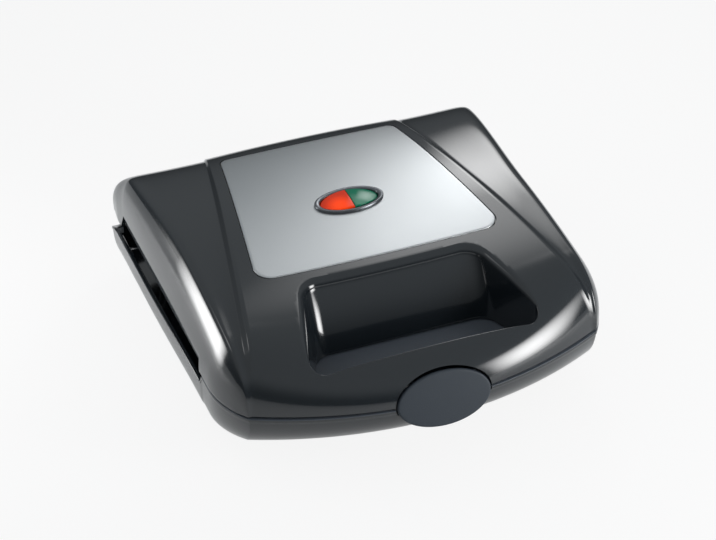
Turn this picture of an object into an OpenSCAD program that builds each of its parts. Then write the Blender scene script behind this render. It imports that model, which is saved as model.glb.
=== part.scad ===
// Sandwich toaster for two slices: a hinged lid with a hand recess over a lower housing.
// Millimetres. X to the right, Y to the back, Z up, origin under the middle of the feet.

/* [Housing] */
// Half width of both housings at the seam, near the front
seam_half_w = 112.2; // [110:0.2:114]
// Back edge of the lid, at its rim
lid_back_y = 128.4; // [127:0.2:130]
// Back of the lower housing
tub_back_y = 133; // [131:0.5:136]
// Front of the seam, in the middle
front_y = -118.8; // [-121:0.2:-116]
// Height of the seam between the lid and the lower housing
seam_z = 43.4; // [41:0.2:46]
// Gap between the two housings at the seam
seam_gap = 0.8; // [0.6:0.1:1.2]
// Underside of the lower housing
belly_z = 12; // [10:0.5:15]
// Thickness of the moulded walls
wall = 2.6; // [2.2:0.1:3.2]
// Radius of the front of the housings, seen from above
front_r = 218; // [200:2:240]
// Radius of the front corners, seen from above
corner_r = 54; // [48:1:60]
// Half the distance between the two front ridges
ridge_x = 100.4; // [98:0.2:102]

/* [Band] */
// Half width of the raised band at the back
band_back_x = 60; // [54:1:66]
// How much the band stands above the wings beside it
band_rise = 2.2; // [1.2:0.2:3]
// Width of the sloping strip along the band
band_strip = 3.6; // [2:0.2:5]

/* [Hand recess] */
// Back edge of the recess on the lid
recess_back_y = -37; // [-40:0.5:-34]
// Front edge of the recess on the lid
recess_front_y = -98.4; // [-100:0.2:-95]
// Half width of the recess at its back edge
recess_back_x = 49.5; // [46:0.5:53]
// Half width of the recess at its front edge
recess_front_x = 70; // [67:0.5:72]
// Back of the recess at its foot, where the deck below shows
recess_foot_y = -59; // [-61:0.5:-57]

/* [Top plate and lamp] */
// Half width of the metal top plate at its back edge
plate_back_x = 54; // [50:0.5:56]
// Half width of the metal top plate at its front edge
plate_front_x = 72.5; // [69:0.5:74]
// Back edge of the metal top plate
plate_back_y = 89.5; // [86:0.5:92]
// Front edge of the metal top plate
plate_front_y = -30.5; // [-33:0.5:-27]
// Middle of the lamp along the plate
lamp_y = 19.6; // [10:0.2:40]
// Half length of the lamp bezel
lamp_a = 20.5; // [18:0.5:24]
// Half width of the lamp bezel
lamp_b = 11; // [9:0.5:13]

/* [Baking plates] */
// Half width of the baking plates
bake_half_w = 105.6; // [104:0.2:106]
// Front edge of the baking plates
bake_front_y = -50; // [-51:0.5:-46]
// Back edge of the baking plates
bake_back_y = 86; // [80:1:90]
// Depth of each toast pocket
pocket_depth = 12; // [8:0.5:13]
// Thickness of the baking plates
bake_t = 2.6; // [2:0.1:3]

/* [Hinge and latch] */
// Hinge axis, Y
hinge_y = 123.4; // [122.6:0.2:123.6]
// Hinge axis, Z
hinge_z = 40; // [39.6:0.2:40.4]
// Radius of the hinge pins
pin_r = 2.2; // [1.8:0.1:2.6]
// Half width of the oval latch
latch_a = 26.5; // [24:0.5:29]
// Half height of the oval latch, along its face
latch_b = 15; // [13:0.5:16]
// Backward tilt of the latch face, in degrees
latch_tilt = 20; // [16:1:24]

/* [Hidden] */
$fn = 48;
charcoal = "#2e3338";
dark_grey = "#3f464e";

lid_z = seam_z + seam_gap / 2;      // bottom rim of the lid
deck_z = seam_z - seam_gap / 2;     // top rim of the lower housing and its front deck
run_fit = 0.06;                     // radial clearance of a pin in a moving lug

// ---- curves that the two housings share -------------------------------------------------

function mix(a, b, t) = a * (1 - t) + b * t;
function clamp01(t) = min(max(t, 0), 1);
function ease(t) = let (c = clamp01(t)) c * c * (3 - 2 * c);
function bezier(p, t) =
    p[0] * pow(1 - t, 3) + 3 * p[1] * t * pow(1 - t, 2) + 3 * p[2] * t * t * (1 - t) + p[3] * pow(t, 3);

// Front edge seen from above: one shallow arc between the ridges.
function front_at(x) = front_y + front_r - sqrt(front_r * front_r - x * x);
ridge_y = front_at(ridge_x);
// The corner arc runs from the ridge back to where the side goes straight.
corner_turn = acos(1 - (seam_half_w - ridge_x) / corner_r);
corner_start_y = ridge_y + corner_r * sin(corner_turn);
function side_at(y) = y > corner_start_y ? seam_half_w - 1.4 * ease((y - 112) / 18)
    : seam_half_w - corner_r + sqrt(max(0, pow(corner_r, 2) - pow(corner_start_y - y, 2)));

// Side views of the lid, each as three Bezier curves in [y, z] from the back rim over the top to
// the front rim: along the middle, and along the shoulders where the wings meet the side walls.
middle_view = [[[lid_back_y + 0.4, lid_z], [127.6, 61], [117.5, 74.5], [99, 84]],
               [[99, 84], [88, 89], [10, 89.8], [-66, 74.6]],
               [[-66, 74.6], [-94, 69], [-116, 62.6], [front_y, lid_z]]];
shoulder_view = [[[lid_back_y, lid_z], [127, 60], [117, 73], [98, 82.4]],
                 [[98, 82.4], [88, 87.4], [10, 88.8], [-60, 76.4]],
                 [[-60, 76.4], [-82, 73], [-91, 66], [ridge_y, lid_z]]];
view_ends = [0, 0.24, 0.70, 1];     // the stations where one curve gives way to the next
function along(view, s) = let (k = s <= view_ends[1] ? 0 : s <= view_ends[2] ? 1 : 2)
    bezier(view[k], (s - view_ends[k]) / (view_ends[k + 1] - view_ends[k]));

// Half width of the band's foot at a shoulder station: straight, then drawn to the ridge.
function band_foot_x(y) = let (crest_y = 101.7)
    band_back_x + (ridge_x - 1 - band_back_x) * (crest_y - y) / (crest_y - ridge_y);
function shoulder_x(s) = let (y = along(shoulder_view, s)[0])
    mix(101.2, 106.6, ease((y - 10) / 100)) - 0.8 * ease((-y - 60) / 35) + 4 * ease((y - 100) / 30);

// One half of the lid's cross-section at station s, from the middle out to the seam.
band_n = 5;
wing_n = 2;
side_n = 7;
function half_section(s) =
    let (c = along(middle_view, s), h = along(shoulder_view, s),
         fade = 1 - ease((s - 0.8) / 0.2),                // everything meets at the ridge
         fx = band_foot_x(h[0]),
         back_fade = ease(s / 0.12),                      // and the band runs out over the back rim
         rise = band_rise * mix(0.6, 1, ease((s - 0.25) / 0.25)) * fade * back_fade,
         strip = band_strip * mix(0.3, 1, ease((s - 0.2) / 0.3)) * mix(0.25, 1, fade),
         edge_x = fx - strip,
         foot = [fx, h[0], h[1] - 0.5 * fade * back_fade],
         edge = [edge_x, h[0], foot[2] + rise],
         shoulder = [shoulder_x(s), h[0], h[1]],
         seam_y = h[0] + 7 * ease((s - 0.75) / 0.25),
         seam = [side_at(seam_y), seam_y, lid_z],
         tall = h[1] - lid_z)
    concat(
        [for (i = [0:band_n - 1]) let (u = i / band_n, x = edge_x * u)
            [x, mix(c[0], h[0], u * u), mix(c[1], edge[2], pow(u, 2.2))]],
        [edge, foot],
        [for (i = [1:wing_n - 1]) let (u = i / wing_n)
            mix(foot, shoulder, u) - [0, 0, 1.2 * u * (1 - u) * fade * back_fade]],
        [for (i = [0:side_n]) let (u = i / side_n)
            bezier([shoulder, shoulder + [0.11 * tall, 0, -0.3 * tall],
                    seam + [0, 0, 0.45 * tall], seam], u)]);

function mirrored(half) = concat([for (i = [len(half) - 1:-1:1]) [-half[i][0], half[i][1], half[i][2]]], half);
function resized(p, k, about) = [for (i = [0:2]) about[i] + (p[i] - about[i]) * k[i]];

lid_stations = 23;
function station(j) = let (t = j / lid_stations) mix(t, 1 - pow(1 - t, 1.5), 0.4);
function lid_grid(k) = [for (j = [0:lid_stations])
    [for (p = mirrored(half_section(station(j)))) resized(p, k, [0, 0, lid_z])]];

// Faces are listed anticlockwise from outside, and turned here to the clockwise order of a polyhedron.
function clockwise(faces) = [for (f = faces) [for (i = [len(f) - 1:-1:0]) f[i]]];

// The edge of a grid, anticlockwise from above, and its faces. Rows run from back to front.
function grid_edge(rows, cols) = concat(
    [for (j = [0:rows - 1]) j * cols], [for (i = [1:cols - 1]) (rows - 1) * cols + i],
    [for (j = [rows - 2:-1:0]) j * cols + cols - 1], [for (i = [cols - 2:-1:1]) i]);
// Each cell is split on the diagonal that keeps its corner triangle out of the rim's plane.
function grid_faces(rows, cols) = [for (j = [0:rows - 2]) for (i = [0:cols - 2])
    let (a = j * cols + i, b = a + cols, turned = (2 * j < rows) == (2 * i >= cols - 1))
    for (f = turned ? [[a, b, a + 1], [a + 1, b, b + 1]] : [[a, b, b + 1], [a, b + 1, a + 1]]) f];

// A closed wall between two grids of points, one over the other, that are joined round their edge.
module wall_between(outer, inner) {
    rows = len(outer);
    cols = len(outer[0]);
    half = rows * cols;
    skin = grid_faces(rows, cols);
    rim = grid_edge(rows, cols);
    polyhedron(concat([for (r = outer) for (p = r) p], [for (r = inner) for (p = r) p]),
        clockwise(concat(skin, [for (f = skin) [half + f[0], half + f[2], half + f[1]]],
            [for (i = [0:len(rim) - 1]) let (a = rim[i], b = rim[(i + 1) % len(rim)])
                for (f = [[a, half + a, half + b], [a, half + b, b]]) f])), convexity = 8);
}

// A grid whose edge lies in one plane, as a solid closed by that plane.
module grid_solid(grid) {
    rows = len(grid);
    cols = len(grid[0]);
    rim = grid_edge(rows, cols);
    polyhedron([for (r = grid) for (p = r) p],
        clockwise(concat(grid_faces(rows, cols), [[for (i = [len(rim) - 1:-1:0]) rim[i]]])), convexity = 6);
}

// A closed loft through loops of equally many points, lowest first, anticlockwise from above.
module loft(loops) {
    n = len(loops[0]);
    faces = concat(
        [[for (i = [n - 1:-1:0]) i]],
        [for (k = [0:len(loops) - 2]) for (i = [0:n - 1]) let (a = k * n + i, b = k * n + (i + 1) % n)
            for (f = [[a, b, b + n], [a, b + n, a + n]]) f],
        [[for (i = [0:n - 1]) (len(loops) - 1) * n + i]]);
    polyhedron([for (l = loops) for (p = l) p], clockwise(faces), convexity = 6);
}

// Outline with round corners: corners are [x, y, radius], anticlockwise.
function rounded(corners, steps = 5) = [for (i = [0:len(corners) - 1])
    let (n = len(corners), c = corners[i], a = corners[(i + n - 1) % n], b = corners[(i + 1) % n],
         p = [c[0], c[1]], u = unit([a[0], a[1]] - p), v = unit([b[0], b[1]] - p),
         half = acos(u * v) / 2, reach = c[2] / tan(half), middle = p + unit(u + v) * (c[2] / sin(half)),
         start = p + u * reach - middle, turn = 180 - 2 * half)
    for (k = [0:steps]) let (t = turn * k / steps)
        middle + [start[0] * cos(t) - start[1] * sin(t), start[0] * sin(t) + start[1] * cos(t)]];
function unit(v) = v / norm(v);
function lifted(outline, z) = [for (p = outline) [p[0], p[1], z]];
function ellipse(a, b, n = 48, power = 2) = [for (i = [0:n - 1]) let (t = 360 * i / n)
    [a * sign(cos(t)) * pow(abs(cos(t)), 2 / power), b * sign(sin(t)) * pow(abs(sin(t)), 2 / power)]];

// ---- the hand recess ---------------------------------------------------------------------

// Round trapezoid from above, drawn in toward the deck; grow makes room for its walls.
function recess_outline(t, grow) =
    let (back = mix(recess_foot_y, recess_back_y, t), front = recess_front_y - 0.4 * (1 - t),
         bx = mix(50, recess_back_x, t), fx = mix(recess_front_x - 5, recess_front_x, t))
    rounded([[fx + grow, front - grow, 7 + grow], [bx + grow, back + grow, 12 + grow],
             [-bx - grow, back + grow, 12 + grow], [-fx - grow, front - grow, 7 + grow]]);
recess_top_z = 80;
module recess_form(grow, foot_z) {
    loft([lifted(recess_outline(0, grow), foot_z),
          lifted(recess_outline(0.05, grow), lid_z + 2),
          lifted(recess_outline(0.45, grow), mix(lid_z, recess_top_z, 0.5)),
          lifted(recess_outline(1, grow), recess_top_z),
          lifted(recess_outline(1.15, grow), 96)]);
}

// ---- the latch's own frame -----------------------------------------------------------------

latch_y = front_y + 0.6;            // middle of the latch's face
latch_mid_z = seam_z + 0.6;
latch_t = 2.4;
latch_pivot_v = 9.6;                // pin, up the face from its middle
latch_pivot_n = -4.6;               // and behind the face
latch_pin_r = 1.1;
latch_gap = 0.8;
hook_r = 16.4;                      // the hook's top runs round the pivot
latch_swing = 0.9;                  // extra room above the latch for its top edge
// In this frame X stays across, Y runs up the latch's face and Z stands out of it.
module latch_frame() translate([0, latch_y, latch_mid_z]) rotate([90 - latch_tilt, 0, 0]) children();
module about_pivot() latch_frame() translate([0, latch_pivot_v, latch_pivot_n]) rotate([0, 90, 0]) children();
module x_cylinder(r, x0, x1, n = 48) translate([x0, 0, 0]) rotate([0, 90, 0]) cylinder(r = r, h = x1 - x0, $fn = n);
module both_sides() { children(); mirror([1, 0, 0]) children(); }

// ---- lid --------------------------------------------------------------------------------

slot_front_y = -46;                 // side steam gap in the lid's wall
slot_back_y = 99;
slot_front_z = 55;
slot_back_z = 56.6;
skirt_x = 106.4;                    // inner skirt that closes the steam gap behind
lid_screw_x = 94;
screw_front_y = -45.6;
screw_back_y = 81.6;
lid_bosses = [[screw_front_y, 75.4], [screw_back_y, 82.6]];  // [y, top z]

module side_slot() {
    // A long wedge: the gap is taller at the back than at the front.
    translate([skirt_x + wall, 0, 0]) rotate([90, 0, 90])
        linear_extrude(height = 14)
            polygon([[slot_front_y, lid_z - 1], [slot_back_y + 10, lid_z - 1],
                     [slot_back_y, slot_back_z], [slot_front_y, slot_front_z]]);
}

function top_plate_outline(grow) = rounded([
    [plate_front_x + grow, plate_front_y - grow, 9], [plate_back_x + grow, plate_back_y + grow, 5],
    [-plate_back_x - grow, plate_back_y + grow, 5], [-plate_front_x - grow, plate_front_y - grow, 9]], 6);

// A slab between two heights that both follow the band's curved top.
module band_layer(low, high) {
    cols = 8;
    rows = [for (j = [0:14]) mix(0.2, 0.64, j / 14)];
    half_w = 76;
    function top_at(s, x) = let (c = along(middle_view, s), sec = half_section(s), e = sec[band_n])
        [x, mix(c[0], e[1], pow(x / e[0], 2)), mix(c[1], e[2], pow(abs(x) / e[0], 2.2))];
    grid = [for (s = rows) [for (i = [-cols:cols]) top_at(s, half_w * i / cols)]];
    upper = [for (r = grid) [for (p = r) p + [0, 0, high]]];
    lower = [for (r = grid) [for (p = r) p + [0, 0, low]]];
    wall_between(upper, lower);
}
// A moulding's skins are joined and cut as one mesh; bores are added to it afterwards.
module moulding() resize([0, 0, 0]) children();

module upper_housing() color(charcoal) {
    inner_k = [1 - wall / seam_half_w, 1 - wall / 120, 1 - wall / 41];
    difference() {
        moulding() {
            difference() {
                union() {
                    wall_between(lid_grid([1, 1, 1]), lid_grid(inner_k));
                    // Walls of the hand recess, inside the lid
                    intersection() {
                        recess_form(wall, lid_z);
                        grid_solid(lid_grid([1, 1, 1]));
                    }
                    // Inner skirts behind the side gaps
                    both_sides() translate([skirt_x, slot_front_y - 4, lid_z])
                        cube([wall, slot_back_y - slot_front_y + 18, slot_back_z - lid_z + 2]);
                    // Bosses for the lid screws, up into the roof
                    both_sides() for (b = lid_bosses)
                        translate([lid_screw_x, b[0], lid_z + bake_t + 0.2])
                            cylinder(r = 3.4, h = b[1] - lid_z - bake_t, $fn = 16);
                }
                recess_form(0, lid_z - 2);
                both_sides() side_slot();
                // Seat of the metal top plate, and the lamp's opening in it
                intersection() {
                    band_layer(-1.1, 6);
                    linear_extrude(height = 100) polygon(top_plate_outline(0.5));
                }
                lamp_opening();
                // Room for the base's hinge ears inside the back wall
                both_sides() translate([0, hinge_y, hinge_z]) x_cylinder(lug_r + 0.4, ear_x - 0.3, ear_x + ear_w + 0.3, 36);
                // Seat of the latch, with room for its top edge to swing
                latch_frame() translate([0, latch_swing / 2, -9]) linear_extrude(height = 30)
                    polygon(ellipse(latch_a + latch_gap, latch_b + latch_gap + latch_swing / 2, 40));
            }
            lid_lugs();
            latch_lugs();
        }
        both_sides() for (b = lid_bosses)
            translate([lid_screw_x, b[0], lid_z]) cylinder(r = 1.35, h = 20);
        both_sides() translate([0, hinge_y, hinge_z])
            x_cylinder(pin_r + run_fit, lug_x - 1, lug_x + lug_w + 1);
        both_sides() about_pivot() translate([0, 0, 17]) cylinder(r = latch_pin_r, h = 4);
    }
}

lug_r = 5;
lug_x = 101.8;                      // inner face of the lid's lugs
lug_w = 3.2;
module lid_lugs() both_sides() {
    translate([0, hinge_y, hinge_z]) x_cylinder(lug_r, lug_x, lug_x + lug_w, 24);
    translate([lug_x, 0, 0]) rotate([90, 0, 90]) linear_extrude(height = lug_w)
        polygon([[hinge_y - lug_r + 0.2, hinge_z], [hinge_y + 2.4, hinge_z + 1], [hinge_y + 2.4, hinge_z + 8],
                 [118.4, 65], [108, 65]]);
}
module latch_lugs() both_sides() latch_frame() {
    translate([17.5, latch_pivot_v, latch_pivot_n]) rotate([0, 90, 0]) cylinder(r = 1.9, h = 2.5, $fn = 24);
    translate([17.5, latch_pivot_v - 1.9, latch_pivot_n - 11.4]) cube([2.5, 3.8, 11.4]);
}

module top_plate() color("#b4b9bd") difference() {
    intersection() {
        band_layer(-1.1, 0.25);
        linear_extrude(height = 100) polygon(top_plate_outline(0));
    }
    lamp_opening();
}

// ---- lamp --------------------------------------------------------------------------------

function top_z_at(y, s0 = view_ends[1], s1 = view_ends[2]) =
    let (s = (s0 + s1) / 2, p = along(middle_view, s))
    s1 - s0 < 0.001 ? p[1] : p[0] > y ? top_z_at(y, s, s1) : top_z_at(y, s0, s);
lamp_z = top_z_at(lamp_y);          // top of the band at the lamp
lamp_tilt = atan((top_z_at(lamp_y + 8) - top_z_at(lamp_y - 8)) / 16);
module lamp_frame() translate([0, lamp_y, lamp_z]) rotate([lamp_tilt, 0, 0]) children();
module lamp_opening() lamp_frame() translate([0, 0, -14]) linear_extrude(height = 30)
    polygon(ellipse(18.4, 9.6, 32));
module lamp_bezel() color("#8d949a") lamp_frame() difference() {
    union() {
        translate([0, 0, 0.4]) linear_extrude(height = 1.4) polygon(ellipse(lamp_a, lamp_b));
        translate([0, 0, -6]) linear_extrude(height = 7) polygon(ellipse(18.2, 9.4));
    }
    translate([0, 0, -7]) linear_extrude(height = 12) polygon(ellipse(17, 8.4));
}

module lens(side) lamp_frame() intersection() {
    translate([0, 0, -5]) linear_extrude(height = 12) intersection() {
        polygon(ellipse(16.9, 8.3));
        translate([side > 0 ? 0.6 : -20, -12]) square([side > 0 ? 20 : 20.4, 24]);
    }
    translate([0, 0, 2.6 - 62]) sphere(r = 62, $fn = 96);
}
module red_lens() color("#d62400") lens(-1);
module green_lens() color("#1f8f66") lens(1);

module neon_lamps() color("#e8c8a0") lamp_frame() for (x = [-7.5, 8]) translate([x, -5, -9])
    rotate([-90, 0, 0]) union() { cylinder(r = 2.2, h = 9); translate([0, 0, 9]) sphere(r = 2.2); }

module lamp_holder() color("#d8d4c8") lamp_frame() translate([0, 0, -14]) difference() {
    translate([-15, -7.5, 0]) cube([30, 15, 8]);
    for (x = [-7.5, 8]) translate([x, -8, 5]) rotate([-90, 0, 0]) cylinder(r = 2.25, h = 16);
    translate([-12, -5.8, 5]) cube([24, 11.6, 4]);
}

// ---- latch -------------------------------------------------------------------------------

module latch() color(dark_grey) {
    difference() {
        union() {
            latch_frame() loft([lifted(ellipse(latch_a, latch_b, 64), -latch_t),
                lifted(ellipse(latch_a, latch_b, 64), -1.1),
                lifted(ellipse(latch_a - 0.4, latch_b - 0.4, 64), -0.4),
                lifted(ellipse(latch_a - 1.3, latch_b - 1.3, 64), 0)]);
            // Lugs on the pin
            latch_frame() both_sides() {
                translate([12.2, latch_pivot_v, latch_pivot_n]) rotate([0, 90, 0]) cylinder(r = 2, h = 4);
                translate([12.2, latch_pivot_v - 2, latch_pivot_n]) cube([4, 4, -latch_pivot_n - 1.5]);
            }
            latch_hook();
        }
        about_pivot() cylinder(r = latch_pin_r + run_fit, h = 40, center = true);
    }
}
// The hook is part of a ring round the pivot, so that it slides out from under its catch.
module latch_hook() intersection() {
    about_pivot() difference() {
        cylinder(r = hook_r + 5, h = 20, center = true);
        cylinder(r = hook_r, h = 21, center = true);
    }
    latch_frame() translate([-10, -12, -8.6]) cube([20, 22, 7.2]);
}
module latch_pin() color("#9aa0a5") about_pivot() cylinder(r = latch_pin_r, h = 40, center = true);

// ---- lower housing -----------------------------------------------------------------------

front_curl = 46;                    // how far the belly draws in at the front
side_curl = 7;                      // and at the sides and back
rear_flare = 1.4;                   // the sides widen toward the hinge
side_rim_drop = 6.6;                // its rim is lower beside the steam gaps
back_rim_drop = 7;                  // and falls away at the back, where the lid swings down
belly_n = 8;

function rim_x(y) = side_at(min(y, 112)) + rear_flare * ease((y + 40) / 100);
function rim_z(y) = deck_z - side_rim_drop * ease((y + 50) / 6) - back_rim_drop * pow(clamp01((y - 115) / 18), 2);
rim_side = concat([for (a = [0:5]) corner_start_y - corner_r * sin(corner_turn * (1 - a / 5))],
                  [-50, -44, -20, 10, 40, 70, 100, 115]);
rim_front = 8;
back_corner_r = 12;
function rim_half() = concat(
    [for (i = [0:rim_front - 1]) let (x = ridge_x * i / rim_front) [x, front_at(x)]],
    [for (y = rim_side) [rim_x(y), y]],
    [for (a = [10:20:90]) [rim_x(115) - back_corner_r * (1 - cos(a)), tub_back_y - back_corner_r * (1 - sin(a))]],
    [[60, tub_back_y]]);
rim_loop = let (h = rim_half()) concat(h, [for (i = [len(h) - 1:-1:1]) [-h[i][0], h[i][1]]]);
// The loop at an angle of the curl: 0 at the rim, 90 at the belly.
function belly_loop(angle, inset, floor_z) = [for (p = rim_loop)
    let (curl = 1 - cos(angle),
         kx = 1 - (side_curl * curl + inset) / seam_half_w,
         ky = 1 - ((p[1] < 0 ? front_curl : side_curl) * curl + inset) / (p[1] < 0 ? -front_y : tub_back_y))
    [p[0] * kx, p[1] * ky, rim_z(p[1]) - (rim_z(p[1]) - floor_z) * sin(angle)]];
// The tub: outer loops up to the rim, then inner loops down to the floor, as one closed skin.
module tub() {
    outer = [for (k = [belly_n:-1:0]) belly_loop(90 * k / belly_n, 0, belly_z)];
    inner = [for (k = [0:belly_n - 2]) belly_loop(90 * k / (belly_n - 2), wall, belly_z + wall)];
    loft(concat(outer, inner));
}
// A cross-section of the tub at a straight part of its sides, drawn inside its walls.
function side_section(y, inset) = let (n = 6, pts = [for (k = [0:n]) let (a = 90 * k / n)
    [rim_x(y) * (1 - (side_curl * (1 - cos(a)) + inset) / seam_half_w), rim_z(y) - (rim_z(y) - belly_z - 1) * sin(a)]])
    concat(pts, [for (i = [n:-1:0]) [-pts[i][0], pts[i][1]]]);
// The front wall's curl in side view, drawn inside it.
function front_section(inset, low) = [for (k = [0:6]) let (a = asin((deck_z - low) / (deck_z - belly_z)) * k / 6)
    [front_y + front_curl * (1 - cos(a)) + inset, deck_z - (deck_z - belly_z) * sin(a)]];

foot_x = 78;
foot_front_y = -48;
foot_back_y = 100;
foot_r = 10;
module at_feet() for (x = [-foot_x, foot_x], y = [foot_front_y, foot_back_y]) translate([x, y, 0]) children();

base_screw_x = 94;
module at_base_screws() for (x = [-base_screw_x, base_screw_x], y = [screw_front_y, screw_back_y])
    translate([x, y, 0]) children();

deck_back_y = bake_front_y - 2;
deck_half = concat([for (p = rim_half()) if (p[1] < deck_back_y - 8) p * 0.988],
                   [[rim_x(deck_back_y) * 0.988, deck_back_y]]);
module lower_moulding() difference() {
    union() {
        tub();
        // Front deck: the floor of the hand recess, with a wall down behind it
        translate([0, 0, deck_z - wall]) linear_extrude(height = wall)
            polygon(concat(deck_half, [for (i = [len(deck_half) - 1:-1:1]) [-deck_half[i][0], deck_half[i][1]]]));
        translate([0, deck_back_y, 0]) rotate([90, 0, 0]) linear_extrude(height = wall)
            polygon(side_section(deck_back_y, 1.2));
        // Catch block behind the front wall
        rotate([90, 0, 90]) translate([0, 0, -30]) linear_extrude(height = 60)
            polygon(concat(front_section(1.2, 24), [[latch_y + 14, 24], [latch_y + 14, deck_z]]));
        // Bosses for the plate screws
        at_base_screws() translate([0, 0, belly_z + 1])
            cylinder(r = 4, h = deck_z - belly_z - bake_t - 1.2, $fn = 16);
    }
    // Seat of the latch
    latch_frame() translate([0, 0, -latch_t - 0.8]) linear_extrude(height = 30)
        polygon(ellipse(latch_a + latch_gap, latch_b + latch_gap, 40));
    // Two gaps through the wall behind the deck, which let its chamber breathe
    both_sides() translate([34, deck_back_y - 6, belly_z + 4]) cube([36, 9, 9]);
    // Cooling slots in the belly
    for (x = [-50:12.5:50]) if (abs(x) > 20) translate([x - 1.6, -12, belly_z - 2]) cube([3.2, 52, 6]);
}

module lower_housing() color(charcoal) difference() {
    moulding() {
        lower_moulding();
        at_feet() translate([0, 0, 3]) cylinder(r = foot_r, h = belly_z - 1);
        hinge_ears();
    }
    at_feet() translate([0, 0, 2]) cylinder(r = foot_r - 1.8, h = 4);
    at_base_screws() {
        translate([0, 0, belly_z - 1]) cylinder(r = 1.6, h = 40);
        translate([0, 0, belly_z - 1]) cylinder(r = 3.2, h = 5);
    }
    both_sides() translate([0, hinge_y, hinge_z]) x_cylinder(pin_r + 0.01, ear_x - 1, ear_x + ear_w + 1);
    // Pocket of the latch's hook, under the catch
    intersection() {
        about_pivot() difference() {
            cylinder(r = hook_r + 6.2, h = 22, center = true);
            cylinder(r = hook_r - 0.5, h = 23, center = true);
        }
        latch_frame() translate([-11, -20, -10]) cube([22, 40, 20]);
    }
    // Cord opening at the back
    translate([0, tub_back_y - 14, cord_z]) rotate([-90, 0, 0]) cylinder(r = 6.05, h = 20);
}

ear_x = lug_x + lug_w + 0.5;         // the ears stand outside the lid's lugs
ear_w = 3;
cheek_x = 113.8;                    // and a cheek outside the lid's corner covers each end
cheek_w = 2.6;
module hinge_ears() both_sides() {
    translate([0, hinge_y, hinge_z]) x_cylinder(lug_r, ear_x, ear_x + ear_w);
    translate([ear_x, hinge_y - lug_r, 24]) cube([ear_w + 1, lug_r + 1, hinge_z - 24]);
    translate([0, hinge_y, hinge_z]) x_cylinder(lug_r + 0.8, cheek_x, cheek_x + cheek_w);
    translate([cheek_x, hinge_y - lug_r - 0.8, 24]) cube([cheek_w, 2 * lug_r, hinge_z - 24]);
    translate([110, hinge_y - lug_r - 0.8, 24]) cube([cheek_x - 109, lug_r + 1, 8]);
}

module hinge_pins() color("#9aa0a5") both_sides()
    translate([0, hinge_y, hinge_z]) x_cylinder(pin_r, lug_x - 1, ear_x + ear_w);

module rubber_feet() color("#1c1c1c") at_feet() union() {
    cylinder(r = foot_r - 1, h = 2.9);
    cylinder(r = foot_r - 1.9, h = 6);
}

module plate_screws() color("#b0b4b8") at_base_screws() {
    translate([0, 0, belly_z + 1.4]) cylinder(r = 2.8, h = 2.4);
    translate([0, 0, belly_z + 1.4]) cylinder(r = 1.5, h = deck_z - belly_z - 2.6);
}

cord_z = 22;
module cord_grommet() color("#202326") translate([0, tub_back_y, cord_z]) rotate([-90, 0, 0]) difference() {
    union() {
        translate([0, 0, -6]) cylinder(r = 6, h = 7);
        cylinder(r = 8, h = 2.4);
        translate([0, 0, 2.4]) cylinder(r1 = 6.5, r2 = 5, h = 5);
    }
    translate([0, 0, -7]) cylinder(r = 3.3, h = 20);
}

module terminal_block() color("#e6e2d6") translate([0, 104, belly_z + wall]) difference() {
    translate([-16, -7, 0]) cube([32, 14, 9]);
    for (x = [-10, 0, 10]) {
        translate([x, 0, 2]) cylinder(r = 2.2, h = 8);
        translate([x, -8, 5.5]) rotate([-90, 0, 0]) cylinder(r = 1.8, h = 16);
    }
}

// ---- baking plates and what heats them ------------------------------------------------------

pocket_in_x = 5;                    // middle rib to pocket
pocket_out_x = 101;
pocket_front_y = -40;
pocket_back_y = 76;
ridge_gap = 3;                      // half the width of the diagonal cutting ridge at its top
// One of the two triangular pockets of a slice. far picks the outer-front or inner-back corner.
function pocket_outline(far, shrink) =
    let (x0 = pocket_in_x + shrink, x1 = pocket_out_x - shrink,
         y0 = pocket_front_y + shrink, y1 = pocket_back_y - shrink,
         g = ridge_gap * 2.2 + shrink * 1.9)
    far ? rounded([[x1, y0, 6], [x1, y1 - g, 5], [x0 + g, y0, 5]], 3)
        : rounded([[x0, y0 + g, 5], [x1 - g, y1, 5], [x0, y1, 6]], 3);
module pocket(far, grow, depth) loft([lifted(pocket_outline(far, 5 - grow), -depth),
    lifted(pocket_outline(far, 1.6 - grow), -depth * 0.55), lifted(pocket_outline(far, -grow), 0.01)]);
module baking_plate() {
    difference() {
        union() {
            translate([-bake_half_w, bake_front_y, -bake_t])
                cube([2 * bake_half_w, bake_back_y - bake_front_y, bake_t]);
            both_sides() for (far = [true, false]) pocket(far, bake_t * 0.9, pocket_depth + bake_t);
        }
        both_sides() for (far = [true, false]) pocket(far, 0, pocket_depth);
    }
}

module lower_baking_plate() color("#24262a") difference() {
    translate([0, 0, deck_z]) baking_plate();
    at_base_screws() translate([0, 0, deck_z - 4]) cylinder(r = 1.55, h = 3);
}
module upper_baking_plate() color("#24262a") difference() {
    translate([0, 0, lid_z]) mirror([0, 0, 1]) baking_plate();
    both_sides() for (y = [screw_front_y, screw_back_y]) translate([lid_screw_x, y, lid_z - 1]) {
        cylinder(r = 1.6, h = 6);
        cylinder(r = 3, h = 2.4);
    }
}
module lid_screws() color("#b0b4b8") both_sides() for (y = [screw_front_y, screw_back_y])
    translate([lid_screw_x, y, lid_z]) {
        translate([0, 0, 0.1]) cylinder(r = 2.8, h = 1.3);
        translate([0, 0, 1.3]) cylinder(r = 1.3, h = 12);
    }

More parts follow.
